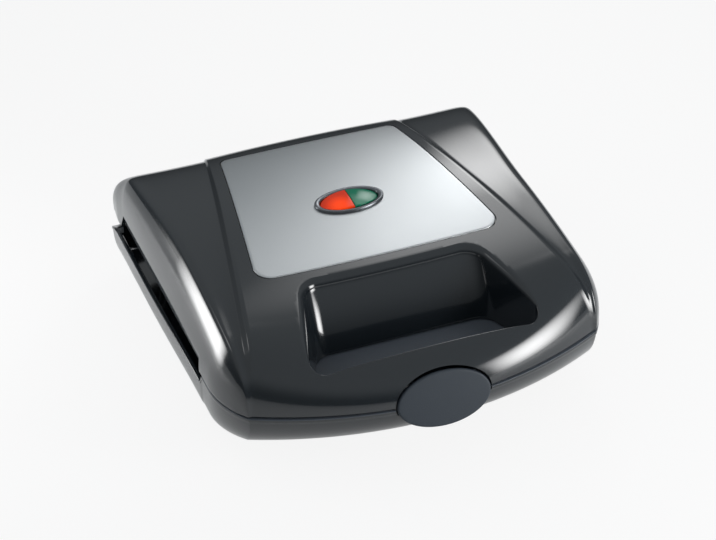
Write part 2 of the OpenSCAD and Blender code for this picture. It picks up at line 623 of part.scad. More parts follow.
// Sheathed element: a long loop with two cold ends turned to the back.
heat_r = 3.2;
heat_x = 66;
heat_front_y = -24;
heat_back_y = 56;
bend_r = 14;
module heater_loop() {
    module bend(x, y, from) translate([x, y, 0]) rotate([0, 0, from])
        rotate_extrude(angle = 90) translate([bend_r, 0]) circle(r = heat_r);
    both_sides() {
        bend(heat_x - bend_r, heat_front_y + bend_r, -90);
        translate([heat_x, heat_front_y + bend_r, 0]) rotate([-90, 0, 0])
            cylinder(r = heat_r, h = heat_back_y - heat_front_y - 2 * bend_r);
        bend(heat_x - bend_r, heat_back_y - bend_r, 0);
        translate([12, heat_back_y, 0]) rotate([0, 90, 0]) cylinder(r = heat_r, h = heat_x - bend_r - 12);
        translate([6, heat_back_y, 0]) rotate([0, 90, 0]) cylinder(r = 1.2, h = 7);
    }
    translate([-heat_x + bend_r, heat_front_y, 0]) rotate([0, 90, 0])
        cylinder(r = heat_r, h = 2 * (heat_x - bend_r));
}
heat_low_z = deck_z - pocket_depth - bake_t - heat_r - 0.05;
heat_high_z = lid_z + pocket_depth + bake_t + heat_r + 0.05;
module lower_heater() color("#77716a") translate([0, 0, heat_low_z]) heater_loop();
module upper_heater() color("#77716a") translate([0, 0, heat_high_z]) heater_loop();

// Saddle clips that press the element on the plate
module heater_clips_lower() color("#a9adb0") translate([0, 0, heat_low_z]) clips_down();
module heater_clips_upper() color("#a9adb0") translate([0, 0, heat_high_z]) mirror([0, 0, 1]) clips_down();
module clips_down() both_sides() for (y = [-5, 37]) translate([heat_x, y, 0]) difference() {
    union() {
        translate([-heat_r - 1, -4, -heat_r - 1]) cube([2 * heat_r + 2, 8, heat_r + 1 + heat_r]);
        translate([-9, -4, heat_r - 1]) cube([18, 8, 1]);
    }
    translate([0, -5, 0]) rotate([-90, 0, 0]) cylinder(r = heat_r + 0.02, h = 10);
    translate([-heat_r - 0.02, -5, 0]) cube([2 * heat_r + 0.04, 10, heat_r + 1]);
}

// Bright sheet trays that throw the heat back at the plates
module reflector_tray() difference() {
    translate([-88, -30, 0]) cube([176, 98, 6]);
    translate([-87.2, -29.2, 0.8]) cube([174.4, 96.4, 6]);
    for (x = [-60, 60]) translate([x, 20, -1]) cylinder(r = 2, h = 3);
}
module lower_reflector() color("#c9ccce") translate([0, 0, heat_low_z - heat_r - 2.6]) reflector_tray();
module upper_reflector() color("#c9ccce") translate([0, 0, heat_high_z + heat_r + 2.6])
    mirror([0, 0, 1]) reflector_tray();

module thermostat() color("#d9d5c9") translate([0, 0, lid_z + pocket_depth + bake_t]) {
    translate([-26, 30, 0]) cylinder(r = 8, h = 5);
    translate([-26, 30, 5]) cylinder(r = 5, h = 1.6);
    translate([-37, 26, 0]) cube([22, 8, 0.9]);
}
module thermal_fuse() color("#e4e0d4") translate([26, 20, lid_z + pocket_depth + bake_t + 2.1])
    rotate([-90, 0, 0]) { cylinder(r = 2, h = 14); translate([0, 0, -8]) cylinder(r = 0.6, h = 30); }

// The whole object is moved so that the middle of its box stands over the origin.
box_middle_y = (140.4 - 122.886) / 2;
module centred() translate([0, -box_middle_y, 0]) children();

centred() lower_housing();
centred() lower_baking_plate();
centred() lower_heater();
centred() lower_reflector();
centred() plate_screws();
centred() hinge_pins();
centred() rubber_feet();
centred() cord_grommet();
centred() terminal_block();
centred() heater_clips_lower();
centred() upper_housing();
centred() upper_baking_plate();
centred() upper_heater();
centred() upper_reflector();
centred() lid_screws();
centred() thermostat();
centred() thermal_fuse();
centred() heater_clips_upper();
centred() top_plate();
centred() lamp_bezel();
centred() red_lens();
centred() green_lens();
centred() neon_lamps();
centred() lamp_holder();
centred() latch();
centred() latch_pin();
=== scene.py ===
# %% [markdown]
# # A sandwich toaster, dressed in Blender
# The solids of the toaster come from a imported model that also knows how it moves. This script keeps
# their places and sizes and gives every visible surface its finish. The big mouldings are worked out
# again here as fine grids, because glossy plastic shows every facet. Their curves are close to those
# of the solids, with rounder sides and without cheeks at the hinge.

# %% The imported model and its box
import math

import bmesh
import bpy
import numpy as np
from mathutils import Matrix, Vector
from mathutils.geometry import delaunay_2d_cdt


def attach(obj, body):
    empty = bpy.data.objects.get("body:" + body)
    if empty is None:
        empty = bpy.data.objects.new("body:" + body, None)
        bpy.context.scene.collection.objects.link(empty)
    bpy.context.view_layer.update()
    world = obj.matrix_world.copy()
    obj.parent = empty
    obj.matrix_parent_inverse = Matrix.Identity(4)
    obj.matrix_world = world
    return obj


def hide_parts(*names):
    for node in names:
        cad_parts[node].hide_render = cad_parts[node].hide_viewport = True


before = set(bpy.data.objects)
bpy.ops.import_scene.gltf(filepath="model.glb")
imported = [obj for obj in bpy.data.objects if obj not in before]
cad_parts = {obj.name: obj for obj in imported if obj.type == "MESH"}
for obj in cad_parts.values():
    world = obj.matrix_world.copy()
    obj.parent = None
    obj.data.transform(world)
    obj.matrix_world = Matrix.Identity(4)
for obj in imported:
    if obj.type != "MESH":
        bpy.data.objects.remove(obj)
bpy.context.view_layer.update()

# %% [markdown]
# ## Curves that the two housings share
# A moulding like this is drawn by a few curves: one seen from above for the seam, one from the side for
# the middle of the lid, and one from the side for its shoulders. All sizes here are in millimetres, and
# the last step of each mesh turns them into metres.

# %% Sizes and small helpers
MM = 0.001
seam_half_w, lid_back_y, tub_back_y, front_y = 112.2, 128.4, 133.0, -118.8
seam_z, seam_gap, belly_z, wall = 43.4, 0.8, 12.0, 2.6
front_r, corner_r, ridge_x = 218.0, 54.0, 100.4
taper, taper_y, taper_length = 1.4, 112, 18
band_back_x, band_rise, band_strip = 60.0, 2.2, 3.6
lid_z, deck_z = seam_z + seam_gap / 2, seam_z - seam_gap / 2


def mix(a, b, t):
    """The value that is the share t of the way from a to b."""
    return a * (1 - t) + b * t


def ease(t):
    """A step from 0 to 1 that starts and ends flat: three t squared minus two t cubed."""
    t = np.clip(t, 0, 1)
    return t * t * (3 - 2 * t)


def bezier(p, t):
    """Cubic curve through p[0] and p[3], pulled toward p[1] and p[2]. t may be a whole array."""
    t = np.asarray(t, float)[..., None]
    p = [np.asarray(q, float) for q in p]
    return (p[0] * (1 - t) ** 3 + 3 * p[1] * t * (1 - t) ** 2 + 3 * p[2] * t * t * (1 - t)
            + p[3] * t ** 3)


def front_at(x):
    """The front edge seen from above: one shallow arc."""
    return front_y + front_r - np.sqrt(front_r ** 2 - np.asarray(x, float) ** 2)


ridge_y = float(front_at(ridge_x))
corner_turn = math.acos(1 - (seam_half_w - ridge_x) / corner_r)
corner_start_y = ridge_y + corner_r * math.sin(corner_turn)


def side_at(y):
    """The side edge seen from above: nearly straight, then an arc of corner_r to the front ridge."""
    y = np.asarray(y, float)
    reach = np.sqrt(np.maximum(0, corner_r ** 2 - (corner_start_y - y) ** 2))
    straight = seam_half_w - taper * ease((y - taper_y) / taper_length)
    return np.where(y > corner_start_y, straight, seam_half_w - corner_r + reach)


print("the ridges meet the seam at", ridge_x, round(ridge_y, 2))

# %% [markdown]
# ## The lid's skin as one grid
# The lid is a surface of two parameters. The first, the station s, runs from the back rim over the top
# to the front rim. The second runs across: from the middle over the raised band, down the narrow
# sloping strip beside it, over the wing, round the shoulder and down the side wall.

# %% The lid's side views
middle_view = [[[lid_back_y + 0.4, lid_z], [127.6, 61], [117.5, 74.5], [99, 84]],
               [[99, 84], [88, 89], [10, 89.8], [-66, 74.6]],
               [[-66, 74.6], [-94, 69], [-116, 62.6], [front_y, lid_z]]]
shoulder_view = [[[lid_back_y, lid_z], [127, 60], [117, 73], [98, 82.4]],
                 [[98, 82.4], [88, 87.4], [10, 88.8], [-60, 76.4]],
                 [[-60, 76.4], [-82, 73], [-91, 66], [ridge_y, lid_z]]]
view_ends = [0, 0.24, 0.70, 1]


def along(view, s):
    """The side view's [y, z] at stations s: the first, second or third Bezier curve."""
    s = np.asarray(s, float)
    part = [bezier(curve, (s - start) / (end - start))
            for curve, start, end in zip(view, view_ends, view_ends[1:])]
    return np.where((s <= view_ends[1])[..., None], part[0],
                    np.where((s <= view_ends[2])[..., None], part[1], part[2]))


def band_foot_x(y):
    """Half width of the raised band at its foot, straight from back to front."""
    crest_y = 101.7
    return band_back_x + (ridge_x - 1 - band_back_x) * (crest_y - y) / (crest_y - ridge_y)


def soft_ramp(t, r=0.14):
    """A ramp from 0 to 1 whose two corners are rounded over the share r of its length."""
    t = np.asarray(t, float)
    middle = (t - r / 2) / (1 - r)
    return np.where(t < r, t * t / (2 * r * (1 - r)),
                    np.where(t > 1 - r, 1 - (1 - t) ** 2 / (2 * r * (1 - r)), middle))


def fades(s):
    """How much of the band's relief is left at stations s, toward the front rim and the back rim."""
    return 1 - ease((s - 0.8) / 0.2), ease(s / 0.12)


def band_edge(s):
    """The band's top edge at stations s: x, y and z, with the height and width of the strip below."""
    h = along(shoulder_view, s)
    front_fade, back_fade = fades(s)
    rise = band_rise * mix(0.6, 1, ease((s - 0.25) / 0.25)) * front_fade * back_fade
    strip = band_strip * mix(0.3, 1, ease((s - 0.2) / 0.3)) * mix(0.25, 1, front_fade)
    foot_z = h[..., 1] - 0.5 * front_fade * back_fade
    return band_foot_x(h[..., 0]) - strip, h[..., 0], foot_z + rise, rise, strip


band_n, strip_n, wing_n, side_n = 44, 9, 14, 26          # cells across each part of the lid
wing_sag, fillet_cells, fillet_rounds = 1.2, 13, 5
shoulder_front_x, shoulder_back_x, corner_reach, foot_lean = 101.2, 106.6, 4, 7
roll_out, roll_down, wall_up = 0.17, 0.18, 0.5           # the side curve's handles, for a height of 1


def half_section(s):
    """One half of the lid across, at every station of the array s: points [station, across, xyz]."""
    c, h = along(middle_view, s), along(shoulder_view, s)
    edge_x, h_y, edge_z, rise, strip = (v[:, None] for v in band_edge(s))
    front_fade, back_fade = fades(s)
    shoulder_x = mix(shoulder_front_x, shoulder_back_x, ease((h_y - 10) / 100))
    shoulder_x = shoulder_x - 0.8 * ease((-h_y - 60) / 35) + corner_reach * ease((h_y - 100) / 30)
    u = np.linspace(0, 1, band_n + 1)[None]
    t = np.linspace(0, 1, strip_n + 1)[None, 1:]
    w = np.linspace(0, 1, wing_n + 1)[None, 1:-1]
    sag = wing_sag * w * (1 - w) * (front_fade * back_fade)[:, None]
    parts = [[edge_x * u, mix(c[:, :1], h_y, u ** 2), mix(c[:, 1:], edge_z, u ** 2.2)],
             [edge_x + strip * t, h_y + 0 * t, edge_z - rise * soft_ramp(t)],
             [mix(edge_x + strip, shoulder_x, w), h_y + 0 * w,
              mix(edge_z - rise, h[:, 1:], w) - sag]]
    tall = h[:, 1] - lid_z
    seam_y = h[:, 0] + foot_lean * ease((s - 0.75) / 0.25)
    zero = np.zeros_like(tall)
    top = np.stack([shoulder_x[:, 0], h[:, 0], h[:, 1]], -1)
    foot = np.stack([side_at(seam_y), seam_y, zero + lid_z], -1)
    below = top + np.stack([roll_out * tall, zero, -roll_down * tall], -1)
    above = foot + np.stack([zero, zero, wall_up * tall], -1)
    side = bezier([p[:, None] for p in (top, below, above, foot)],
                  np.linspace(0, 1, side_n + 1)[None])
    points = np.concatenate([*(np.stack(np.broadcast_arrays(*p), -1) for p in parts), side], axis=1)
    first = band_n + strip_n + wing_n - fillet_cells // 2
    last = first + fillet_cells
    for _ in range(fillet_rounds):          # evens out the turn from the wing to the side
        points[:, first:last] = (points[:, first - 1:last - 1] + 2 * points[:, first:last]
                                 + points[:, first + 1:last + 1]) / 4
    return points


def lid_grid(stations, scale=(1, 1, 1)):
    """Both halves of the lid at evenly eased stations, drawn in about the seam plane by scale."""
    t = np.linspace(0, 1, stations + 1)
    half = half_section(mix(t, 1 - (1 - t) ** 1.5, 0.4))
    mirrored = half[:, :0:-1] * [-1, 1, 1]
    return (np.concatenate([mirrored, half], axis=1) - [0, 0, lid_z]) * scale + [0, 0, lid_z]


outer_grid = lid_grid(230)
print("the lid's grid has", outer_grid.shape[0], "by", outer_grid.shape[1], "points")


# %% [markdown]
# ## From arrays to meshes
# A grid becomes a mesh when each small cell becomes a four-sided face. A closed solid also needs its rim
# closed, so the rim gets a few more rings that round it over, and a last flat face.

# %% Mesh helpers
def cells(rows, cols, wrap=False):
    """The four-sided faces of a grid of points. wrap joins the last column to the first."""
    i, j = np.meshgrid(np.arange(rows - 1), np.arange(cols if wrap else cols - 1), indexing="ij")
    k = (j + 1) % cols
    corners = [i * cols + j, i * cols + k, (i + 1) * cols + k, (i + 1) * cols + j]
    return np.stack(corners, -1).reshape(-1, 4)


def finish_shading(mesh, sharp):
    """Smooth shading, with a sharp edge wherever two faces turn by more than sharp degrees."""
    mesh.shade_smooth()
    mesh.set_sharp_from_angle(angle=math.radians(sharp))


def make(name, points, faces, sharp=32):
    """A new object from points in millimetres and a list of faces, all facing outwards."""
    mesh = bpy.data.meshes.new(name)
    mesh.from_pydata((np.asarray(points, float).reshape(-1, 3) * MM).tolist(), [], faces)
    work = bmesh.new()
    work.from_mesh(mesh)
    bmesh.ops.recalc_face_normals(work, faces=work.faces)
    work.to_mesh(mesh)
    work.free()
    finish_shading(mesh, sharp)
    made = bpy.data.objects.new(name, mesh)
    bpy.context.scene.collection.objects.link(made)
    return made


def rings_solid(name, rings, sharp=32, joined=False):
    """A solid through rings of equally many points. The last ring joins the first again if joined,
    or else both get a flat face."""
    rings = np.asarray(rings, float)
    count, n = rings.shape[:2]
    faces = (cells(count + joined, n, wrap=True) % (count * n)).tolist()
    if not joined:
        faces += [list(range(n)), list(range((count - 1) * n, count * n))]
    return make(name, rings, faces, sharp)


def grid_edge(rows, cols):
    """Indices of a grid's outer points, in order round it."""
    return np.concatenate([np.arange(rows) * cols, (rows - 1) * cols + np.arange(1, cols),
                           np.arange(rows - 2, -1, -1) * cols + cols - 1,
                           np.arange(cols - 2, 0, -1)])


def closed_grid(name, grid, rings):
    """A solid under a grid: its edge goes on through the rings and is closed by a flat face."""
    rows, cols = grid.shape[:2]
    edge = last = grid_edge(rows, cols)
    points = np.concatenate([grid.reshape(-1, 3), *rings])
    faces = cells(rows, cols).tolist()
    for k in range(len(rings)):
        ring = rows * cols + k * len(edge) + np.arange(len(edge))
        faces += np.stack([last, np.roll(last, -1), np.roll(ring, -1), ring], -1).tolist()
        last = ring
    faces.append(last.tolist())
    return make(name, points, faces)


def inward(loop, distance):
    """A loop of points, with or without heights, moved in by distance square to its own edge."""
    ahead = np.roll(loop, -1, 0) - np.roll(loop, 1, 0)
    normal = np.zeros_like(ahead)
    normal[:, 0], normal[:, 1] = -ahead[:, 1], ahead[:, 0]
    normal /= np.maximum(np.linalg.norm(normal, axis=1, keepdims=True), 1e-9)
    x, y = loop.T[:2]
    area = np.sum(x * np.roll(y, -1) - y * np.roll(x, -1))
    return loop + normal * distance * np.sign(area)


def at_level(outline, z):
    """A flat outline lifted to the height z."""
    return np.column_stack([outline, np.full(len(outline), z)])


def prism(name, outline, z0, z1):
    """An outline in [x, y], drawn up from z0 to z1."""
    return rings_solid(name, [at_level(outline, z) for z in (z0, z1)])


def block(name, low, high):
    """A plain box between two corners. Its two x may come in either order."""
    (x0, x1), (y0, y1), (z0, z1) = sorted((low[0], high[0])), *zip(low[1:], high[1:])
    return prism(name, [[x0, y0], [x1, y0], [x1, y1], [x0, y1]], z0, z1)


def crosswise(name, outline, x0, x1):
    """An outline in [y, z], drawn across from x0 to x1."""
    return rings_solid(name, [np.insert(np.asarray(outline, float), 0, x, 1) for x in (x0, x1)])


def ellipse(a, b, n=96):
    """Points on an ellipse with half axes a and b."""
    t = np.linspace(0, 2 * math.pi, n, endpoint=False)
    return np.stack([a * np.cos(t), b * np.sin(t)], -1)


def x_cylinder(name, y, z, r, x0, x1):
    """A cylinder along X."""
    return crosswise(name, [y, z] + ellipse(r, r, 48), x0, x1)


def placed(piece, matrix):
    """Moves a piece's mesh, so that the object itself stays at the origin."""
    piece.data.transform(matrix)
    return piece


def copy_of(piece):
    """A second object with its own mesh."""
    twin = piece.copy()
    twin.data = piece.data.copy()
    bpy.context.scene.collection.objects.link(twin)
    return twin


# %% [markdown]
# ## Joining and cutting
# Openings with an exact outline are cut as on the real mould: a cutter is drawn and taken away. The
# boolean modifier does it, and its result is kept as a plain mesh, so nothing is left to work out later.

# %% Boolean helper
solvers = bpy.types.BooleanModifier.bl_rna.properties["solver"].enum_items.keys()
SOLVER = "MANIFOLD" if "MANIFOLD" in solvers else "EXACT"
print("booleans use the solver", SOLVER)


def combine(piece, tools, operation, sharp=32):
    """Joins tools to a piece (UNION), cuts them away (DIFFERENCE) or keeps what they share
    (INTERSECT). The tools are used up."""
    for tool in tools:
        step = piece.modifiers.new("step", "BOOLEAN")
        step.operation, step.object, step.solver = operation, tool, SOLVER
    shown = piece.evaluated_get(bpy.context.evaluated_depsgraph_get())
    mesh = bpy.data.meshes.new_from_object(shown)
    piece.modifiers.clear()
    piece.data = mesh
    for tool in tools:
        bpy.data.objects.remove(tool)
    finish_shading(mesh, sharp)
    return piece


# %% [markdown]
# One face can't go round a hole, so the solver covers the hole with two faces back to back. On each level
# or upright plane that has a face of many corners, all faces are taken out and the plane is filled anew
# between its outlines. Dictionaries keep the corners in the mesh's order, so every run gives the same.

# %% Refill the flat areas
SAME_POINT = 3e-6                                        # metres, below any real gap in the meshes


def fill_between(work, outline, axis):
    """Triangles on a plane across axis, kept where a ray from their middle crosses the outline an odd
    number of times: the edge (x0, y0)-(x1, y1) is crossed where y lies between y0 and y1 and x is left
    of the edge."""
    corners = list(dict.fromkeys(vertex for edge in outline for vertex in edge.verts))
    number = {vertex: k for k, vertex in enumerate(corners)}
    flat = np.delete(np.array([vertex.co[:] for vertex in corners]), axis, 1)
    pairs = np.array([[number[vertex] for vertex in edge.verts] for edge in outline])
    spots = [Vector(p) for p in flat.tolist()]
    _, _, faces, origin, _, _ = delaunay_2d_cdt(spots, pairs.tolist(), [], 0, 1e-9)
    faces = np.array([[origin[k][0] for k in face] for face in faces
                      if all(origin[k] for k in face)])
    x, y = flat[faces].mean(1).T[:, :, None]
    (x0, y0), (x1, y1) = flat[pairs[:, 0]].T, flat[pairs[:, 1]].T
    with np.errstate(divide="ignore", invalid="ignore"):
        crossed = ((y0 > y) != (y1 > y)) & (x < x0 + (y - y0) * (x1 - x0) / (y1 - y0))
    for face in faces[crossed.sum(1) % 2 == 1]:
        work.faces.new([corners[k] for k in face])


def read(items, label, width, kind=np.float32):
    """One property of all items of a mesh as an array, with width numbers for each item."""
    values = np.empty(len(items) * width, kind)
    items.foreach_get(label, values)
    return values.reshape(-1, width) if width > 1 else values


def refill(piece, sharp=32, corners=8):
    """Fills every axis-aligned plane that has a face of many corners anew, between its outlines."""
    mesh = piece.data
    n, middle = read(mesh.polygons, "normal", 3), read(mesh.polygons, "center", 3)
    points, corner = read(mesh.vertices, "co", 3), read(mesh.loops, "vertex_index", 1, np.int32)
    first, total = (read(mesh.polygons, label, 1, np.int32) for label in ("loop_start", "loop_total"))
    wide = (total > corners) & (np.abs(n).max(1) > 0.9999)
    axis = np.abs(n[wide]).argmax(1)
    height = middle[wide][np.arange(len(axis)), axis]
    planes = dict(zip(zip(axis.tolist(), np.round(height * 1e5).tolist()), height.tolist()))
    work = bmesh.new()
    work.from_mesh(mesh)
    work.faces.ensure_lookup_table()
    flat = []
    for (k, _), z in planes.items():
        level = np.minimum.reduceat(np.abs(points[:, k] - z)[corner] < SAME_POINT, first)
        flat.append((k, [work.faces[index] for index in np.nonzero(level)[0]]))
    for k, faces in flat:
        faces = [face for face in faces if face.is_valid]
        edges = list(dict.fromkeys(edge for face in faces for edge in face.edges))
        bmesh.ops.delete(work, geom=faces, context="FACES_ONLY")
        bmesh.ops.delete(work, geom=[edge for edge in edges if edge.is_wire], context="EDGES")
        outline = [edge for edge in edges if edge.is_valid and edge.is_boundary]
        if outline:
            fill_between(work, outline, k)
    rims = [edge for edge in work.edges if edge.is_boundary]
    loose = list(dict.fromkeys(vertex for edge in rims for vertex in edge.verts))
    bmesh.ops.remove_doubles(work, verts=loose, dist=SAME_POINT)
    bmesh.ops.holes_fill(work, edges=[edge for edge in work.edges if edge.is_boundary], sides=0)
    bmesh.ops.recalc_face_normals(work, faces=work.faces)
    print(piece.name, "has", len(planes), "planes filled anew, and open edges:",
          sum(len(edge.link_faces) != 2 for edge in work.edges))
    work.to_mesh(mesh)
    work.free()
    finish_shading(mesh, sharp)
    return piece


# %% [markdown]
# ## The band's height at any point
# The recess and the metal plate both sit on the band, so their points need its height. The station that
# passes through a point is found by halving an interval thirty times, for all points at once.

# %% Height of the band
def band_z(x, y):
    """Height of the lid's band over points x, y."""
    x, y = np.broadcast_arrays(np.abs(np.asarray(x, float)), np.asarray(y, float))
    low, high = np.full(x.shape, 0.02), np.full(x.shape, 0.999)

    def at(s):
        edge_x, edge_y, edge_z = band_edge(s)[:3]
        c = along(middle_view, s)
        u = x / edge_x
        return mix(c[..., 0], edge_y, u ** 2), mix(c[..., 1], edge_z, u ** 2.2)

    for _ in range(30):
        half = (low + high) / 2
        behind = at(half)[0] > y
        low, high = np.where(behind, half, low), np.where(behind, high, half)
    return at((low + high) / 2)[1]


def on_band(outline, lift):
    """An outline laid on the band and lifted by lift."""
    return np.column_stack([outline, band_z(*outline.T) + lift])


print("the band is", round(float(band_z(0, 20)), 2), "mm high near the lamp")


# %% [markdown]
# ## Rounded outlines
# The recess, the plate and its seat are trapezoids with round corners. Each outline has the same number
# of points on every arc and every side, so that outlines of different sizes can be joined point by point.

# %% Rounded outlines
def rounded(corners, arc_n=14, side_n=26):
    """A closed outline from corners [x, y, radius]: an arc in each, then points along each side."""
    c = np.asarray(corners, float)
    p, r = c[:, :2], c[:, 2]
    before, after = np.roll(p, 1, 0) - p, np.roll(p, -1, 0) - p
    u = before / np.linalg.norm(before, axis=1, keepdims=True)
    v = after / np.linalg.norm(after, axis=1, keepdims=True)
    half = np.arccos(np.clip(np.sum(u * v, 1), -1, 1)) / 2
    middle_way = (u + v) / np.linalg.norm(u + v, axis=1, keepdims=True)
    middle = p + middle_way * (r / np.sin(half))[:, None]
    start = p + u * (r / np.tan(half))[:, None] - middle
    turn = (math.pi - 2 * half)[:, None] * np.linspace(0, 1, arc_n + 1)[None]
    arcs = np.stack([start[:, :1] * np.cos(turn) - start[:, 1:] * np.sin(turn),
                     start[:, :1] * np.sin(turn) + start[:, 1:] * np.cos(turn)], -1) + middle[:, None]
    w = np.linspace(0, 1, side_n + 2)[None, 1:-1, None]
    sides = arcs[:, -1:] * (1 - w) + np.roll(arcs[:, :1], -1, 0) * w
    return np.concatenate([arcs, sides], 1).reshape(-1, 2)


def trapezoid(front_x, front_y, front_r, back_x, back_y, back_r):
    """A round-cornered outline from the half width, the y and the corner radius at its two ends."""
    return rounded([[front_x, front_y, front_r], [back_x, back_y, back_r],
                    [-back_x, back_y, back_r], [-front_x, front_y, front_r]])


# %% [markdown]
# ## The lid shell
# The outer skin is closed into a solid, hollowed by a smaller copy of itself, and joined with the walls
# of the hand recess. The recess cutter widens in a quarter circle just under the lid's surface, which
# leaves the soft rolled lip that catches the light on the real one. Only its front edge is nearly sharp.

# %% Recess, from the deck up to its rolled lip
recess_back_y, recess_front_y, recess_foot_y = -37.0, -98.4, -59.0
recess_back_x, recess_front_x, recess_foot_x, recess_top_z = 49.5, 70.0, 50.0, 80.0
recess_front_r, recess_back_r, front_lip, back_lip = 7, 12, 1.0, 4.2
above_all_z = 96.0


def recess_outline(t, grow=0.0):
    """The recess seen from above at the share t of its height, widened by grow."""
    return trapezoid(mix(recess_front_x - 5, recess_front_x, t) + grow,
                     recess_front_y - 0.4 * (1 - t) - grow, recess_front_r + grow,
                     mix(recess_foot_x, recess_back_x, t) + grow,
                     mix(recess_foot_y, recess_back_y, t) + grow, recess_back_r + grow)


recess_t = np.linspace(0, 1.2, 61)
recess_stack = np.stack([recess_outline(t) for t in recess_t])


def recess_point(t):
    """Points of the recess wall, one share of the height t for each point of the outline."""
    k = np.clip(t / recess_t[1], 0, len(recess_t) - 1.001)
    i = k.astype(int)
    index, t = np.arange(recess_stack.shape[1]), (k - i)[:, None]
    return mix(recess_stack[i, index], recess_stack[i + 1, index], t)


def recess_share(z):
    """The share of the recess's height at z, with a slight hollow in its back wall."""
    w = np.clip((z - lid_z) / (recess_top_z - lid_z), 0, 1.3)
    return w - 0.10 * np.sin(np.clip(w, 0, 1) * math.pi)


def recess_cutter():
    """Rings up the wall, a quarter circle out to the lid's skin, and straight up out of it."""
    t = np.ones(recess_stack.shape[1])
    for _ in range(12):
        t = mix(t, recess_share(band_z(*recess_point(t).T)), 0.6)
    p = recess_point(t)
    top = band_z(*p.T)
    lip = mix(front_lip, back_lip, ease((p[:, 1] - recess_front_y - 3) / 22))
    rings = []
    for share in np.linspace(0, 1, 26):
        z = mix(lid_z - 2, top - lip, share)
        rings.append(at_level(recess_point(recess_share(z)), z))
    edge = recess_point(recess_share(top - lip))
    out = inward(edge, -1.0) - edge
    for a in np.radians(np.linspace(9, 84, 12)):
        rings.append(on_band(edge + out * (lip * (1 - math.cos(a)))[:, None],
                             -lip * (1 - math.sin(a))))
    outside = edge + out * (lip + 0.6)[:, None]
    rings += [on_band(outside, 0.12), at_level(outside, above_all_z)]
    return rings_solid("recess_cutter", rings)


def recess_walls():
    """The tube that the recess's walls are cut from."""
    levels = [(0.0, lid_z), (0.5, 62.0), (1.0, recess_top_z), (1.15, above_all_z)]
    return rings_solid("recess_walls", [at_level(recess_outline(t, wall), z) for t, z in levels])


# %% Frames of the latch and the lamp, and the plate's outline
latch_a, latch_b, latch_tilt, latch_t = 26.5, 15.0, 20.0, 2.4
latch_gap, latch_swing = 0.8, 0.45                       # room round it, and above it as it turns
latch_y, latch_mid_z = front_y + 0.6, seam_z + 0.6
latch_pivot = (9.6, -4.6)                                # up the latch's face, and behind it
latch_frame = (Matrix.Translation((0, latch_y * MM, latch_mid_z * MM))
               @ Matrix.Rotation(math.radians(90 - latch_tilt), 4, "X"))
pivot_frame = latch_frame @ Matrix.Translation((0, latch_pivot[0] * MM, latch_pivot[1] * MM))
lamp_y, lamp_a, lamp_b, lamp_hole_a, lamp_hole_b = 19.6, 20.5, 11.0, 18.4, 9.6
lamp_z = float(band_z(0, lamp_y))
lamp_tilt = math.atan2(float(band_z(0, lamp_y + 8)) - float(band_z(0, lamp_y - 8)), 16)
lamp_frame = Matrix.Translation((0, lamp_y * MM, lamp_z * MM)) @ Matrix.Rotation(lamp_tilt, 4, "X")
plate_back_x, plate_front_x, plate_back_y, plate_front_y = 54.0, 72.5, 89.5, -30.5
plate_gap, seat_depth = 0.5, 1.1


def plate_outline(grow):
    """The metal top plate's outline, widened by grow."""
    return trapezoid(plate_front_x + grow, plate_front_y - grow, 9,
                     plate_back_x + grow, plate_back_y + grow, 5)


def seat_cutter():
    """The plate's seat: rings from the outline in to its middle follow the band at the seat's depth."""
    outline = plate_outline(plate_gap)
    middle = np.array([0.0, 29.0])
    rings = [on_band(outline, 8)]
    rings += [on_band(middle + (outline - middle) * k, -seat_depth)
              for k in np.linspace(1, 0.02, 26)]
    return rings_solid("seat_cutter", rings)


# %% Lid shell
hinge_y, hinge_z, pin_r, lug_r, lug_x, lug_w = 123.4, 40.0, 2.2, 5.0, 101.8, 3.2
skirt_x, slot_front_y, slot_back_y, slot_front_z, slot_back_z = 106.4, -46.0, 99.0, 55.0, 56.6
bake_t, bake_half_w, bake_front_y, bake_back_y = 2.6, 105.6, -50.0, 86.0
screw_x, screw_front_y, screw_back_y = 94.0, -45.6, 81.6
screw_r, well_r, post_r, boss_r = 1.6, 3.2, 3.4, 4
lid_half_length, lid_height, rim_round = 120, 41, 0.6


def latch_lug(sign):
    """A lug in the latch's frame: round at the pivot, with a straight stalk back into the lid."""
    v, n = latch_pivot
    r, back = 1.9, -16.0
    outline = [[v + r * math.sin(a), n + r * math.cos(a)]
               for a in np.radians(np.linspace(-90, 90, 17))]
    outline += [[v + r, back], [v - r, back]]
    return placed(crosswise("latch_lug", outline, sign * 17.5, sign * 20.0), latch_frame)


